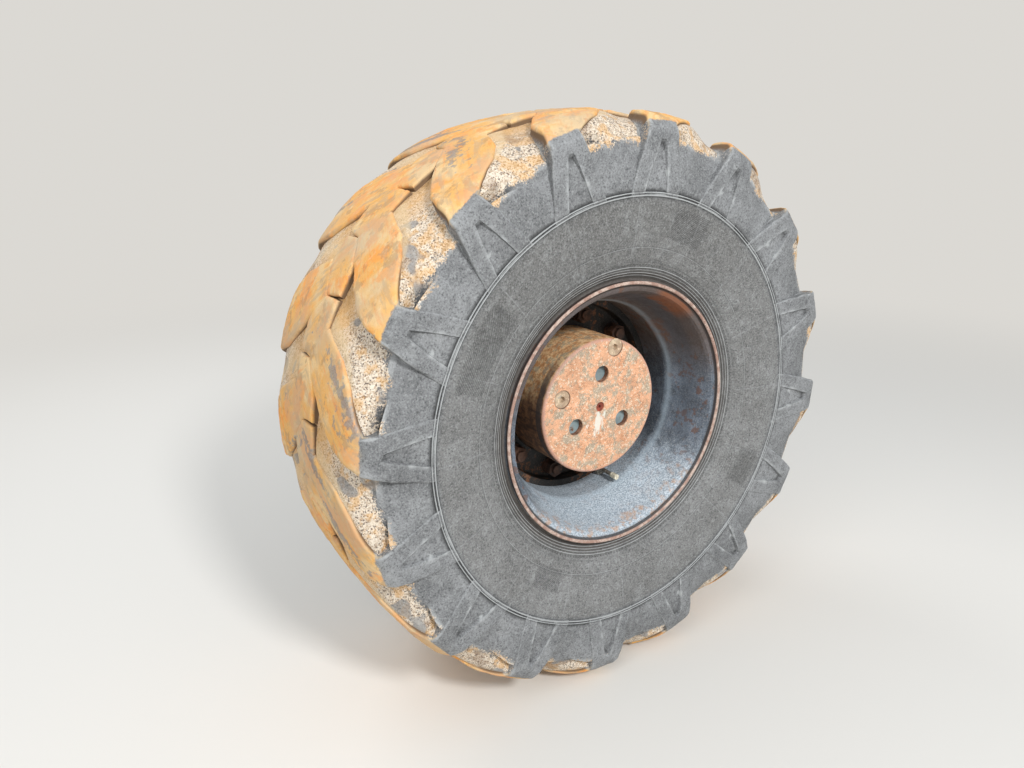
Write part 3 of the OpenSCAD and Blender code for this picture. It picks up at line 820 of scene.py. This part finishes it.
class TyreFinish(Finish):
    """Grey rubber, orange mud on the lugs' tops, and grains of sand between them."""

    def __init__(self, name, sand):
        super().__init__(name, roughness=0.8, specular=0.3)
        colours = bpy.context.scene.finish_colours
        self.rubber = tuple(colours.rubber)
        self.mud = tuple(colours.mud)
        self.sand = sand
        self.radius, self.place, self.angle, _, self.z = self.around()
        self.side = self.math("ABSOLUTE", self.place)
        level = self.math("MINIMUM", self.side, SHOULDER_PLACE)
        flat = self.add(self.radius, self.times(self.times(level, level), CROWN_DROP / TREAD_HALF_WIDTH**2))
        self.out = self.math("MAXIMUM", self.minus(self.side, SHOULDER_PLACE), 0.0)
        self.up = self.math("MAXIMUM", self.minus(flat, TYRE_RADIUS - SHOULDER_ROUND), 0.0)
        # How deep a point lies under the tread's outer form
        self.depth = self.minus(SHOULDER_ROUND, self.length(self.out, self.up))
        self.broad = self.noise(90, 3, 0.6)
        self.patchy = self.noise(38, 4, 0.65)
        self.medium = self.noise(13, 4, 0.65)
        self.fine = self.noise(3.2, 3, 0.7)
        self.grain, self.tone = self.cells(2.2)
        half_pitch = 180 / bpy.context.scene.tyre_sizes.lugs
        from_seam = self.times(self.math("PINGPONG", self.angle, half_pitch), self.times(self.radius, DEGREE))
        self.seam = self.times(self.ramp(from_seam, 1.6, 0.5), self.within(self.radius, *SEAM_RING))

    def rubber_shade(self):
        """Dusty rubber, darker towards the top as painted shade, with dirt at the bead, lines of dirt and painted
        shade beside the ridges and of painted highlight on them, painted highlights on edges and painted shade in
        corners.
        """
        rubber, tones, radius = self.rubber, RUBBER_TONES, self.radius
        shade = self.mix(self.ramp(self.broad, 0.35, 0.65), scaled(rubber, 0.9), scaled(rubber, 1.06))
        shade = self.lay(shade, tones["wall dirt"], 0.4, self.ramp(radius, 414, 402))
        # Painted shade: the sidewall darkens towards the top, inside the rib
        top_shade = self.ramp(self.ragged(self.z, self.broad, 260.0), 60, 380)
        shade = self.lay(shade, tones["painted top shade"], 0.5, self.times(top_shade, self.ramp(radius, 440, 400)))
        shade = self.layers(shade, [
            (tones["dust"], 0.22, self.patchy, 0.5, 0.7),
            (tones["dust"], 0.17, self.medium, 0.52, 0.66),
            (scaled(rubber, 0.62), 0.25, self.medium, 0.47, 0.36),
            (scaled(rubber, 0.75), 0.25, self.noise(24, 4, 0.6), 0.46, 0.34),
            (tones["dust"], 0.5, self.fine, 0.5, 0.7),
            (scaled(rubber, 0.45), 0.7, self.fine, 0.48, 0.32),
            (tones["bead dirt"], 0.75, radius, 292, 268),
        ])
        # Dirt and painted shade in the creases, then painted highlights on the crests
        shade = self.lay(shade, scaled(rubber, 0.42), 0.6, self.rings(radius, SHADED_CREASES))
        shade = self.lay(shade, tones["dust"], 0.35, self.rings(radius, LIT_CRESTS))
        # Painted highlight on convex edges and painted shade in concave corners, taken from the mesh's pointiness
        edges = self.nodes.new("ShaderNodeNewGeometry").outputs["Pointiness"]
        shade = self.layers(shade, [
            (scaled(tones["dust"], 1.08), 0.7, edges, 0.51, 0.56),
            (scaled(rubber, 0.36), 0.8, edges, 0.49, 0.44),
        ])
        shade = self.lay(shade, scaled(rubber, 1.35), 0.22, self.seam)
        dashes = self.ramp(self.math("PINGPONG", self.angle, DASH_HALF_PITCH), 0.25, 0.45)
        return self.lay(shade, scaled(rubber, 0.45), 0.6, self.times(self.within(radius, *DASH_RING), dashes))

    def mud_shade(self, shade):
        """Dried mud with streaks along the lugs, worn through to the shade below, and darker on the walls as painted
        shade.
        """
        tones = MUD_TONES
        drawn = self.noise(16, 4, 0.65, self.twisted(self.side))
        worn = self.both(self.noise(60, 2, 0.5, self.twisted(self.side)), self.medium, 0.7)
        mud = self.mix(self.ramp(self.broad, 0.46, 0.6), self.mud, tones["pale"])
        return self.layers(mud, [
            (tones["orange"], 0.75, self.noise(60, 3, 0.6), 0.5, 0.58),
            (tones["brown"], 0.5, self.patchy, 0.55, 0.62),
            (tones["cream"], 0.3, self.medium, 0.54, 0.68),
            (tones["dark specks"], 0.35, self.fine, 0.56, 0.72),
            (tones["grey streaks"], 0.45, drawn, 0.52, 0.66),
            (tones["orange streaks"], 0.4, drawn, 0.46, 0.34),
            (tones["grey"], 0.55, self.noise(120, 3), 0.42, 0.6),
            (shade, 0.7, worn, 0.6, 0.64),
            # Brown mud on the lugs' walls, darkened as painted shade
            (tones["foot"], 1.0, self.depth, 2.5, 8),
        ])

    def sand_shade(self):
        """Grains of sand, each with its own tone, among them some stones, with mud near the tread's middle."""
        grains = self.mix(self.ramp(self.tone, 0.1, 0.6), SAND_TONES["dull grain"], SAND_TONES["pale grain"])
        return self.layers(grains, [
            (SAND_TONES["stone"], 1.0, self.tone, 0.82, 0.88),
            (scaled(self.mud, 0.95), 0.5, self.patchy, 0.5, 0.6),
            (SAND_TONES["damp"], 0.5, self.broad, 0.55, 0.63),
            (scaled(self.mud, 0.95), 0.6, self.ragged(self.side, self.patchy, 90.0), 150, 60),
        ])

    def sand_cover(self):
        """Where grains lie: all over the floor of the tread, and thinly on the lugs' flanks."""
        cover = self.ramp(self.ragged(self.radius, self.patchy, 40.0), SAND_FROM, SAND_TO)
        if not self.sand:
            cover = self.times(cover, self.ramp(self.depth, 1, 4))
        thick = self.times(cover, 0.5 if self.sand else 0.25)
        cover = self.ramp(self.add(self.both(self.fine, self.patchy, 0.7), thick), 0.76, 0.9)
        bare = self.ramp(self.noise(46, 1, 0.4), 0.64, 0.68)
        return self.times(cover, self.minus(1.0, self.times(bare, 0.75)))

    def ribs(self):
        """Patches of fine slanting ribs, on the outboard sidewall only."""
        patches = 0.0
        for start, end, inner, outer in RIB_PATCHES:
            patch = self.times(self.within(self.angle, start, end, 0.4), self.within(self.radius, inner, outer, 1.0))
            patches = self.add(patches, patch)
        slanted = self.add(self.times(self.angle, RIB_RADIUS * DEGREE), self.times(self.radius, RIB_SLANT))
        lines = self.ramp(self.math("PINGPONG", slanted, RIB_HALF_PITCH), 0.6, 1.6)
        return self.times(self.times(patches, lines), self.ramp(self.place, 100, 120))

    def built(self):
        """Lays rubber, sand, mud and ribs over each other and returns the material."""
        shade = self.rubber_shade()
        cover = self.sand_cover()
        colour = self.mix(cover, shade, self.sand_shade())
        # Cream mud and painted highlight along the lugs' top edges
        edge = self.times(self.within(self.depth, 2.5, 6.5, 1.5), self.ramp(self.radius, 522, 540))
        colour = self.lay(colour, MUD_TONES["cream edge and highlight"], 0.5, edge)
        if not self.sand:
            ends = self.ramp(self.ragged(self.minus(self.up, self.out), self.medium, 16.0), -3, 2)
            on_top = self.times(self.ramp(self.depth, 24, 12), ends)
            colour = self.mix(on_top, colour, self.mud_shade(shade))
        ribs = self.ribs()
        colour = self.lay(colour, scaled(self.rubber, 0.5), 0.35, ribs)
        ridges = self.times(self.math("PINGPONG", self.radius, BEAD_HALF_PITCH), self.within(self.radius, *BEAD_RING))
        height = self.minus(self.add(self.times(self.seam, 0.5), self.times(ridges, 0.5)), ribs)
        lumps = self.bump(self.medium, 1.0, self.bump(self.fine, 0.45, self.bump(height, 0.7)))
        return self.done(colour, self.bump(self.times(self.ramp(self.grain, 0.6, 0.1), cover), 0.7, lumps))


def tyre_finish(name, sand):
    """The tyre's finish of this name, made once. Sand covers the floor of the tread and not the lugs."""
    return bpy.data.materials.get(name) or TyreFinish(name, sand).built()


STEEL_TONES = {
    "dust": (0.50, 0.46, 0.41),
    "pale dust": (0.62, 0.58, 0.52),
    "dark rust": (0.36, 0.24, 0.17),
    "rust": (0.50, 0.34, 0.23),
    "rust film": (0.40, 0.27, 0.18),
}


def painted_steel(name, paint, rust_share, dust, roughness=0.6):
    """Old paint with rust patches, dust and small chips."""
    f = Finish(name, roughness=roughness)
    tones = STEEL_TONES
    broad = f.noise(60, 5, 0.6)
    medium = f.noise(12, 4, 0.6)
    grain = f.noise(2.5, 2)
    rust = f.mix(f.ramp(grain, 0.4, 0.6), tones["dark rust"], tones["rust"])
    rust_from = 0.62 - rust_share * 0.3
    colour = f.mix(f.ramp(broad, 0.3, 0.7), scaled(paint, 0.8), scaled(paint, 1.2))
    colour = f.layers(colour, [
        (tones["dust"], dust, f.both(broad, medium, 0.6), 0.4, 0.64),
        (tones["pale dust"], 0.2, grain, 0.55, 0.7),
        (rust, 1.0, f.both(broad, medium, 0.55), rust_from, rust_from + 0.04),
    ])
    return f.done(colour, f.bump(medium, 0.8, f.bump(grain, 0.2)), f.ramp(medium, -0.6, 1.2))


# Rim: the gutter behind its lip, with dirt and painted shade, the corner of its dish with a painted highlight, the
# slope of its dish with
# painted shade, and a patch of rust: outboard places, and angles for the patch, each with a soft edge
GUTTER_PLACE = RIM_FACE - 7
RIM_CORNER = (84, 96, 6)
RIM_SLOPE = (112, 150, 12)
SCAB_ANGLES = (48, 70, 5)
RIM_TONES = {
    "pale specks": (0.60, 0.60, 0.59),
    "dark specks": (0.20, 0.20, 0.21),
    "brown dirt and top shade": (0.33, 0.26, 0.21),
    "rust": (0.42, 0.29, 0.22),
    "dust": (0.56, 0.61, 0.65),
    "white dust and light": (0.83, 0.87, 0.90),
    "corner highlight": (0.66, 0.72, 0.76),
    "slope shade": (0.20, 0.22, 0.25),
    "stains": (0.72, 0.56, 0.42),
    "scab": (0.50, 0.29, 0.15),
    "dirty_shaded_gutter": (0.17, 0.14, 0.125),
    "lip": (0.62, 0.50, 0.45),
    "pale lip": (0.75, 0.67, 0.62),
    "lip rust": (0.48, 0.33, 0.26),
}


def rim_finish(name, paint):
    """Blue-grey rim paint, with pink rust on the lip, dirt and painted shade in the gutter, brown dirt and painted
    shade towards the top, painted shade on the slope, a painted highlight at the dish's corner, and pale dust with
    painted light at the bottom.
    """
    f = Finish(name, roughness=0.62, specular=0.4)
    tones = RIM_TONES
    radius, place, angle, _, z = f.around()
    broad = f.noise(70, 4, 0.6)
    medium = f.noise(16, 5, 0.65)
    grain = f.noise(3.0, 3, 0.7)
    dust = f.mix(f.ramp(grain, 0.38, 0.62), tones["dust"], tones["white dust and light"])
    colour = f.mix(f.ramp(broad, 0.35, 0.65), scaled(paint, 0.78), scaled(paint, 1.08))
    colour = f.layers(colour, [
        (scaled(paint, 0.55), 0.5, medium, 0.46, 0.6),
        (tones["pale specks"], 0.4, grain, 0.5, 0.66),
        (tones["dark specks"], 0.4, grain, 0.5, 0.36),
        # Brown dirt and painted shade towards the top
        (tones["brown dirt and top shade"], 0.7, f.ragged(z, broad, 120.0), 10, 120),
        (tones["rust"], 0.6, f.both(broad, medium, 0.5), 0.545, 0.58),
        # Pale dust and painted light towards the bottom
        (dust, 0.75, f.ragged(z, medium, 90.0), -90, -190),
    ])
    # Painted highlight on the corner where the dish's well meets its slope
    corner = f.times(f.within(f.ragged(place, broad, 16.0), *RIM_CORNER), f.ramp(radius, 218, 209))
    colour = f.lay(colour, tones["corner highlight"], 0.35, corner)
    # Painted shade on the slope of the dish, except at the bottom
    shaded_slope = f.times(f.within(place, *RIM_SLOPE), f.ramp(z, -150, -60))
    colour = f.lay(colour, tones["slope shade"], 0.45, shaded_slope)
    stains = f.ramp(f.ragged(place, broad, 60.0), GUTTER_PLACE - 40, GUTTER_PLACE - 12)
    stains = f.times(f.times(stains, f.ramp(medium, 0.47, 0.62)), f.ramp(z, -120, -190))
    colour = f.lay(colour, tones["stains"], 0.6, stains)
    scab = f.times(f.within(angle, *SCAB_ANGLES), f.ramp(f.ragged(place, medium, 50.0), 140, 158))
    colour = f.lay(colour, tones["scab"], 0.75, scab)
    # Dirt and painted shade in the gutter behind the lip
    dirty_shaded_gutter = f.times(f.within(place, GUTTER_PLACE - 1.5, GUTTER_PLACE + 5.5, 0.8), f.ramp(radius, 248.5, 251))
    colour = f.lay(colour, tones["dirty_shaded_gutter"], 0.85, dirty_shaded_gutter)
    lip = f.mix(f.ramp(medium, 0.42, 0.6), tones["lip"], tones["pale lip"])
    lip = f.lay(lip, tones["lip rust"], 0.6, f.ramp(grain, 0.52, 0.66))
    colour = f.mix(f.ramp(place, GUTTER_PLACE + 3, GUTTER_PLACE + 5.5), colour, lip)
    return f.done(colour, f.bump(medium, 0.7, f.bump(grain, 0.3)), f.ramp(medium, -0.5, 1.3))


def bare_steel(name, tone, rust_share=0.2, roughness=0.4):
    """Machined steel with a light film of rust."""
    f = Finish(name, roughness=roughness, metallic=1.0)
    broad = f.noise(40, 4)
    grain = f.noise(3, 3)
    colour = f.mix(f.ramp(broad, 0.3, 0.7), tone, scaled(tone, 0.8))
    rust = f.ramp(f.add(broad, grain), 1.25 - rust_share, 1.35 - rust_share)
    colour = f.mix(rust, colour, STEEL_TONES["rust film"])
    return f.done(colour, f.bump(grain, 0.15), f.ramp(grain, -0.2, 1.6))


def rusty_iron(name, warm, dark, patch):
    """Rusted casting with dust and remains of paint."""
    f = Finish(name, roughness=0.82)
    medium = f.noise(9, 4, 0.6)
    grain = f.noise(2.2, 2, 0.7)
    colour = f.mix(f.ramp(f.noise(38, 5, 0.62), 0.35, 0.65), dark, warm)
    colour = f.layers(colour, [
        (scaled(warm, 1.25), 0.6, medium, 0.5, 0.68),
        (patch, 0.7, f.noise(26, 4), 0.58, 0.66),
        ((0.25, 0.17, 0.12), 0.5, grain, 0.58, 0.7),
    ])
    return f.done(colour, f.bump(medium, 0.9, f.bump(grain, 0.35)))


# Drum: the two screws in its face, as radius of their circle and angle in degrees, the darkened groove round a
# screw, as inner and outer radius and soft edge, and the middle of the pale splash on the face, as x and z
SCREW_PLACES = [(98, 161), (122, 74)]
SCREW_GROOVE = (15.5, 18.8, 0.8)
SPLASH_PLACE = (-4.0, -30.0)
DRUM_TONES = {
    "orange": (0.76, 0.50, 0.32),
    "grey dust": (0.66, 0.65, 0.58),
    "cream grains": (0.90, 0.85, 0.76),
    "dark specks": (0.42, 0.27, 0.20),
    "splash": (0.88, 0.88, 0.84),
    "groove": (0.33, 0.23, 0.18),
    "lit_ochre": (0.80, 0.56, 0.36),
    "pale ochre": (0.97, 0.82, 0.62),
    "grey patches": (0.60, 0.60, 0.54),
    "brown": (0.42, 0.31, 0.24),
    "pale brown": (0.62, 0.45, 0.32),
    "streaks": (0.28, 0.22, 0.19),
    "shell specks": (0.36, 0.27, 0.21),
    "band": (0.25, 0.25, 0.26),
    "edge highlight": (0.78, 0.60, 0.54),
    "dark hole": (0.40, 0.28, 0.22),
    "pale hole": (0.62, 0.46, 0.37),
}


def drum_finish(name, rust):
    """The hub's drum: orange rust with grey dust on the face; on the side, ochre rust lit towards the top and brown
    rust in painted shade below.
    """
    f = Finish(name, roughness=0.84, specular=0.35)
    tones = DRUM_TONES
    radius, place, _, x, z = f.around()
    broad = f.noise(44, 4, 0.65)
    medium = f.noise(12, 5, 0.7)
    grain = f.noise(2.4, 3, 0.7)

    face = f.mix(f.ramp(broad, 0.4, 0.6), rust, scaled(rust, 1.08))
    face = f.layers(face, [
        (tones["orange"], 0.6, medium, 0.48, 0.62),
        (tones["grey dust"], 0.8, f.noise(24, 5, 0.75), 0.47, 0.6),
        (tones["cream grains"], 0.6, f.cells(3)[1], 0.84, 0.9),
        (tones["dark specks"], 0.55, f.add(grain, f.times(medium, 0.3)), 0.68, 0.76),
    ])
    splash = f.noise(16, 4, 0.7, f.from_centre((1, 1, 0.5)))
    away = f.length(f.minus(x, SPLASH_PLACE[0]), f.minus(z, SPLASH_PLACE[1]))
    splash = f.ramp(f.minus(splash, f.times(away, 0.008)), 0.34, 0.42)
    face = f.lay(face, tones["splash"], 0.8, splash)
    for screw_radius, screw_angle in SCREW_PLACES:
        across = f.minus(x, screw_radius * math.cos(screw_angle * DEGREE))
        above = f.minus(z, screw_radius * math.sin(screw_angle * DEGREE))
        face = f.lay(face, tones["groove"], 0.75, f.within(f.length(across, above), *SCREW_GROOVE))

    lit_ochre = f.mix(f.ramp(medium, 0.4, 0.6), tones["lit_ochre"], tones["pale ochre"])
    lit_ochre = f.lay(lit_ochre, tones["grey patches"], 0.6, f.ramp(f.noise(20, 4, 0.7), 0.5, 0.6))
    brown = f.mix(f.ramp(medium, 0.42, 0.6), tones["brown"], tones["pale brown"])
    streaks = f.noise(9, 4, 0.6, f.from_centre((1, 0.12, 1)))
    brown = f.lay(brown, tones["streaks"], 0.6, f.ramp(streaks, 0.5, 0.62))
    # Painted light: the side is ochre rust towards the top, where it is lit, and brown rust in painted shade below
    shell = f.mix(f.ramp(f.ragged(z, broad, 120.0), 0, 80), brown, lit_ochre)
    shell = f.lay(shell, tones["shell specks"], 0.5, f.ramp(grain, 0.52, 0.66))
    band = f.within(f.ragged(place, medium, 10.0), DRUM_FACE - 24, DRUM_FACE - 7, 2)
    shell = f.lay(shell, tones["band"], 0.75, f.times(band, f.ramp(z, 125, 70)))

    colour = f.mix(f.ramp(place, DRUM_FACE - 5, DRUM_FACE - 1), shell, face)
    # Painted highlight along the rounded edge of the face
    edge = f.times(f.ramp(radius, DRUM_RADIUS - 7, DRUM_RADIUS - 4), f.ramp(place, DRUM_FACE - 6, DRUM_FACE - 3))
    colour = f.lay(colour, tones["edge highlight"], 0.6, edge)
    sunk = f.times(f.ramp(radius, DRUM_RADIUS - 12, DRUM_RADIUS - 16), f.ramp(place, DRUM_FACE - 2, DRUM_FACE - 4))
    colour = f.mix(sunk, colour, f.mix(f.ramp(medium, 0.4, 0.6), tones["dark hole"], tones["pale hole"]))
    return f.done(colour, f.bump(medium, 1.0, f.bump(grain, 0.5)))


# Distances from the valve's end between which its stem turns into its cap
CAP_FROM, CAP_TO = 17, 15


def valve_finish(name):
    """Dirty valve stem with a pale cap."""
    f = Finish(name, roughness=0.5)
    place = f.around()[1]
    medium = f.noise(5, 4, 0.6)
    stem = f.mix(f.ramp(medium, 0.4, 0.6), (0.34, 0.32, 0.29), (0.55, 0.53, 0.49))
    cap = f.mix(f.ramp(medium, 0.4, 0.65), (0.74, 0.71, 0.62), (0.95, 0.92, 0.84))
    colour = f.mix(f.ramp(place, VALVE_END - CAP_FROM, VALVE_END - CAP_TO), stem, cap)
    return f.done(colour, f.bump(medium, 0.3))


def rubber_seal(name):
    """Black rubber with patches of dust."""
    f = Finish(name, roughness=0.6)
    colour = f.lay((0.09, 0.09, 0.09), (0.35, 0.32, 0.28), 0.5, f.ramp(f.noise(10, 3), 0.45, 0.7))
    return f.done(colour, f.bump(f.noise(3), 0.2))


class WHEEL_OT_metal(bpy.types.Operator):
    """Gives the metal pieces that keep their shape their finishes"""

    bl_idname = "wheel.metal"
    bl_label = "Metal finishes"

    def execute(self, context):
        colours = context.scene.finish_colours
        axle = painted_steel("axle_paint", tuple(colours.axle_paint), 0.1, 0.55, 0.7)
        rim = rim_finish("rim_paint", tuple(colours.rim_paint))
        # Near-black paint on the disc as painted shade, for the deep dish that light does not reach
        disc = painted_steel("disc_paint", (0.10, 0.095, 0.095), 0.3, 0.12)
        drum = drum_finish("rusty_drum", tuple(colours.rust))
        screws = rusty_iron("rusty_screws", (0.78, 0.70, 0.59), (0.62, 0.51, 0.42), (0.62, 0.60, 0.56))
        dark_rust = rusty_iron("rusty_steel", (0.36, 0.25, 0.19), (0.17, 0.13, 0.11), (0.22, 0.22, 0.23))
        red_rust = rusty_iron("red_rust", (0.62, 0.30, 0.22), (0.40, 0.18, 0.14), (0.55, 0.45, 0.40))
        bright = bare_steel("bright_steel", (0.72, 0.72, 0.71))
        bolts = bare_steel("bolt_steel", (0.60, 0.58, 0.55), 0.35, 0.5)
        pins = painted_steel("pin_paint", (0.52, 0.60, 0.62), 0.25, 0.5)
        seal = rubber_seal("seal_rubber")
        brass = bare_steel("brass", (0.75, 0.62, 0.36), 0.1)
        stem = valve_finish("valve_stem")
        finishes = {
            axle: ["axle_arm", "knuckle", "brake_housing", "steering_lever", "kingpin_upper", "kingpin_lower"],
            rim: ["rim_barrel"],
            disc: ["wheel_disc"],
            drum: ["planet_carrier"],
            screws: ["carrier_screws"],
            dark_rust: ["hub", "wheel_nuts", "wheel_studs"],
            red_rust: ["centre_plug"],
            bright: ["spindle", "inner_shaft", "outer_shaft"],
            bolts: ["kingpin_bolts", "brake_bolts", "lever_bolts", "stop_bolts", "oil_plug"],
            pins: ["planet_pins"],
            seal: ["arm_seal", "hub_seal"],
            brass: ["brake_union"],
            stem: ["valve"],
        }
        for finish, names in finishes.items():
            for name in names:
                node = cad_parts[name]
                node.data.materials.clear()
                node.data.materials.append(finish)
        return {"FINISHED"}


# Stage, in metres and watts. Lamps: name, place from the wheel's centre, size, power
LAMPS = [
    ("key", (-0.3, -3.8, 2.7), 0.8, 165),
    ("fill", (-3.0, -1.8, 2.6), 2.6, 50),
    ("back", (-1.0, 3.2, 2.6), 2.4, 60),
]
SKY_COLOUR = (0.9, 0.95, 1.0, 1)
SKY_STRENGTH = 0.55
SENSOR_WIDTH = 36
FLOOR_SIZE = 80
# Distances from the wheel between which the floor fades into the backdrop
FADE_FROM, FADE_TO = 1.2, 4.5


def background_rays(tree):
    """1 for the rays that show the background: from the camera, off a glossy face or through glass."""
    path = tree.nodes.new("ShaderNodeLightPath").outputs
    rays = path["Is Camera Ray"]
    for kind in ("Is Glossy Ray", "Is Transmission Ray"):
        larger = tree.nodes.new("ShaderNodeMath")
        larger.operation = "MAXIMUM"
        tree.links.new(rays, larger.inputs[0])
        tree.links.new(path[kind], larger.inputs[1])
        rays = larger.outputs[0]
    return rays


def mix_shaders(tree, share, first, second, output):
    """Feeds an output with the first shader where share is 0 and the second where it is 1."""
    mixed = tree.nodes.new("ShaderNodeMixShader")
    for source, socket in zip((share, first.outputs[0], second.outputs[0]), mixed.inputs):
        tree.links.new(source, socket)
    tree.links.new(mixed.outputs[0], tree.nodes[output].inputs["Surface"])


class WHEEL_OT_stage(bpy.types.Operator):
    """Sets up the camera, the floor, the lamps and the world"""

    bl_idname = "wheel.stage"
    bl_label = "Stage"

    def execute(self, context):
        stage = context.scene.stage_settings
        bpy.ops.object.camera_add()
        camera = context.object
        camera.matrix_world = (
            Matrix.Translation(stage.camera_place)
            @ Matrix.Rotation(stage.camera_turn, 4, "Z")
            @ Matrix.Rotation(math.pi / 2 - stage.camera_lift, 4, "X")
            @ Matrix.Rotation(stage.camera_roll, 4, "Z")
        )
        camera.data.lens = stage.focal_length
        camera.data.sensor_width = SENSOR_WIDTH
        context.scene.camera = camera

        bpy.ops.mesh.primitive_plane_add(size=FLOOR_SIZE, location=(0, 0, FLOOR_Z))
        floor = context.object
        floor.name = "floor"
        bpy.ops.object.transform_apply(location=True)
        floor.data.materials.append(self.floor_finish(tuple(stage.floor_colour)))

        for name, place, size, power in LAMPS:
            bpy.ops.object.light_add(type="AREA", location=WHEEL_CENTRE + Vector(place))
            lamp = context.object
            lamp.name = name
            lamp.data.shape = "DISK"
            lamp.data.size = size
            lamp.data.energy = power
            lamp.rotation_euler = Vector(place).to_track_quat("Z", "Y").to_euler()

        world = bpy.data.worlds.new("studio")
        context.scene.world = world
        world.use_nodes = True
        tree = world.node_tree
        sky = tree.nodes["Background"]
        sky.inputs["Color"].default_value = SKY_COLOUR
        sky.inputs["Strength"].default_value = SKY_STRENGTH
        backdrop = tree.nodes.new("ShaderNodeBackground")
        backdrop.inputs["Color"].default_value = linear(tuple(stage.floor_colour))
        mix_shaders(tree, background_rays(tree), sky, backdrop, "World Output")
        context.scene.view_settings.view_transform = "Standard"
        return {"FINISHED"}

    def floor_finish(self, colour):
        """Pale floor that keeps the shadow near the wheel and fades into the backdrop far away."""
        f = Finish("studio_floor", roughness=0.9, specular=0.2)
        x, y, _ = f.split(f.from_centre())
        glow = f.nodes.new("ShaderNodeEmission")
        glow.inputs["Color"].default_value = linear(colour)
        tree = f.material.node_tree
        far = f.times(background_rays(tree), f.ramp(f.length(x, y), FADE_FROM, FADE_TO))
        mix_shaders(tree, far, f.shader, glow, "Material Output")
        return f.done(colour)


class WHEEL_PT_panel(bpy.types.Panel):
    """Buttons for all steps"""

    bl_idname = "WHEEL_PT_panel"
    bl_label = "Drive wheel"
    bl_space_type = "VIEW_3D"
    bl_region_type = "UI"
    bl_category = "Drive wheel"

    def draw(self, context):
        for group in (context.scene.tyre_sizes, context.scene.finish_colours, context.scene.stage_settings):
            box = self.layout.box()
            for name in group.__annotations__:
                box.prop(group, name)
        for step in STEPS:
            self.layout.operator(step.bl_idname)


STEPS = (WHEEL_OT_stage, WHEEL_OT_carcass, WHEEL_OT_lugs, WHEEL_OT_blocks, WHEEL_OT_metal)
GROUPS = {"tyre_sizes": TyreSizes, "finish_colours": FinishColours, "stage_settings": StageSettings}


def register():
    for group in GROUPS.values():
        bpy.utils.register_class(group)
    for step in STEPS:
        bpy.utils.register_class(step)
    bpy.utils.register_class(WHEEL_PT_panel)
    for name, group in GROUPS.items():
        setattr(bpy.types.Scene, name, PointerProperty(type=group))


def unregister():
    for name in GROUPS:
        delattr(bpy.types.Scene, name)
    bpy.utils.unregister_class(WHEEL_PT_panel)
    for step in reversed(STEPS):
        bpy.utils.unregister_class(step)
    for group in reversed(GROUPS.values()):
        bpy.utils.unregister_class(group)


def main():
    """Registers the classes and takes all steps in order."""
    register()
    bpy.ops.object.select_all(action="DESELECT")
    bpy.ops.wheel.stage()
    bpy.ops.wheel.carcass()
    bpy.ops.wheel.lugs()
    bpy.ops.wheel.blocks()
    bpy.ops.wheel.metal()


if __name__ == "__main__":
    main()
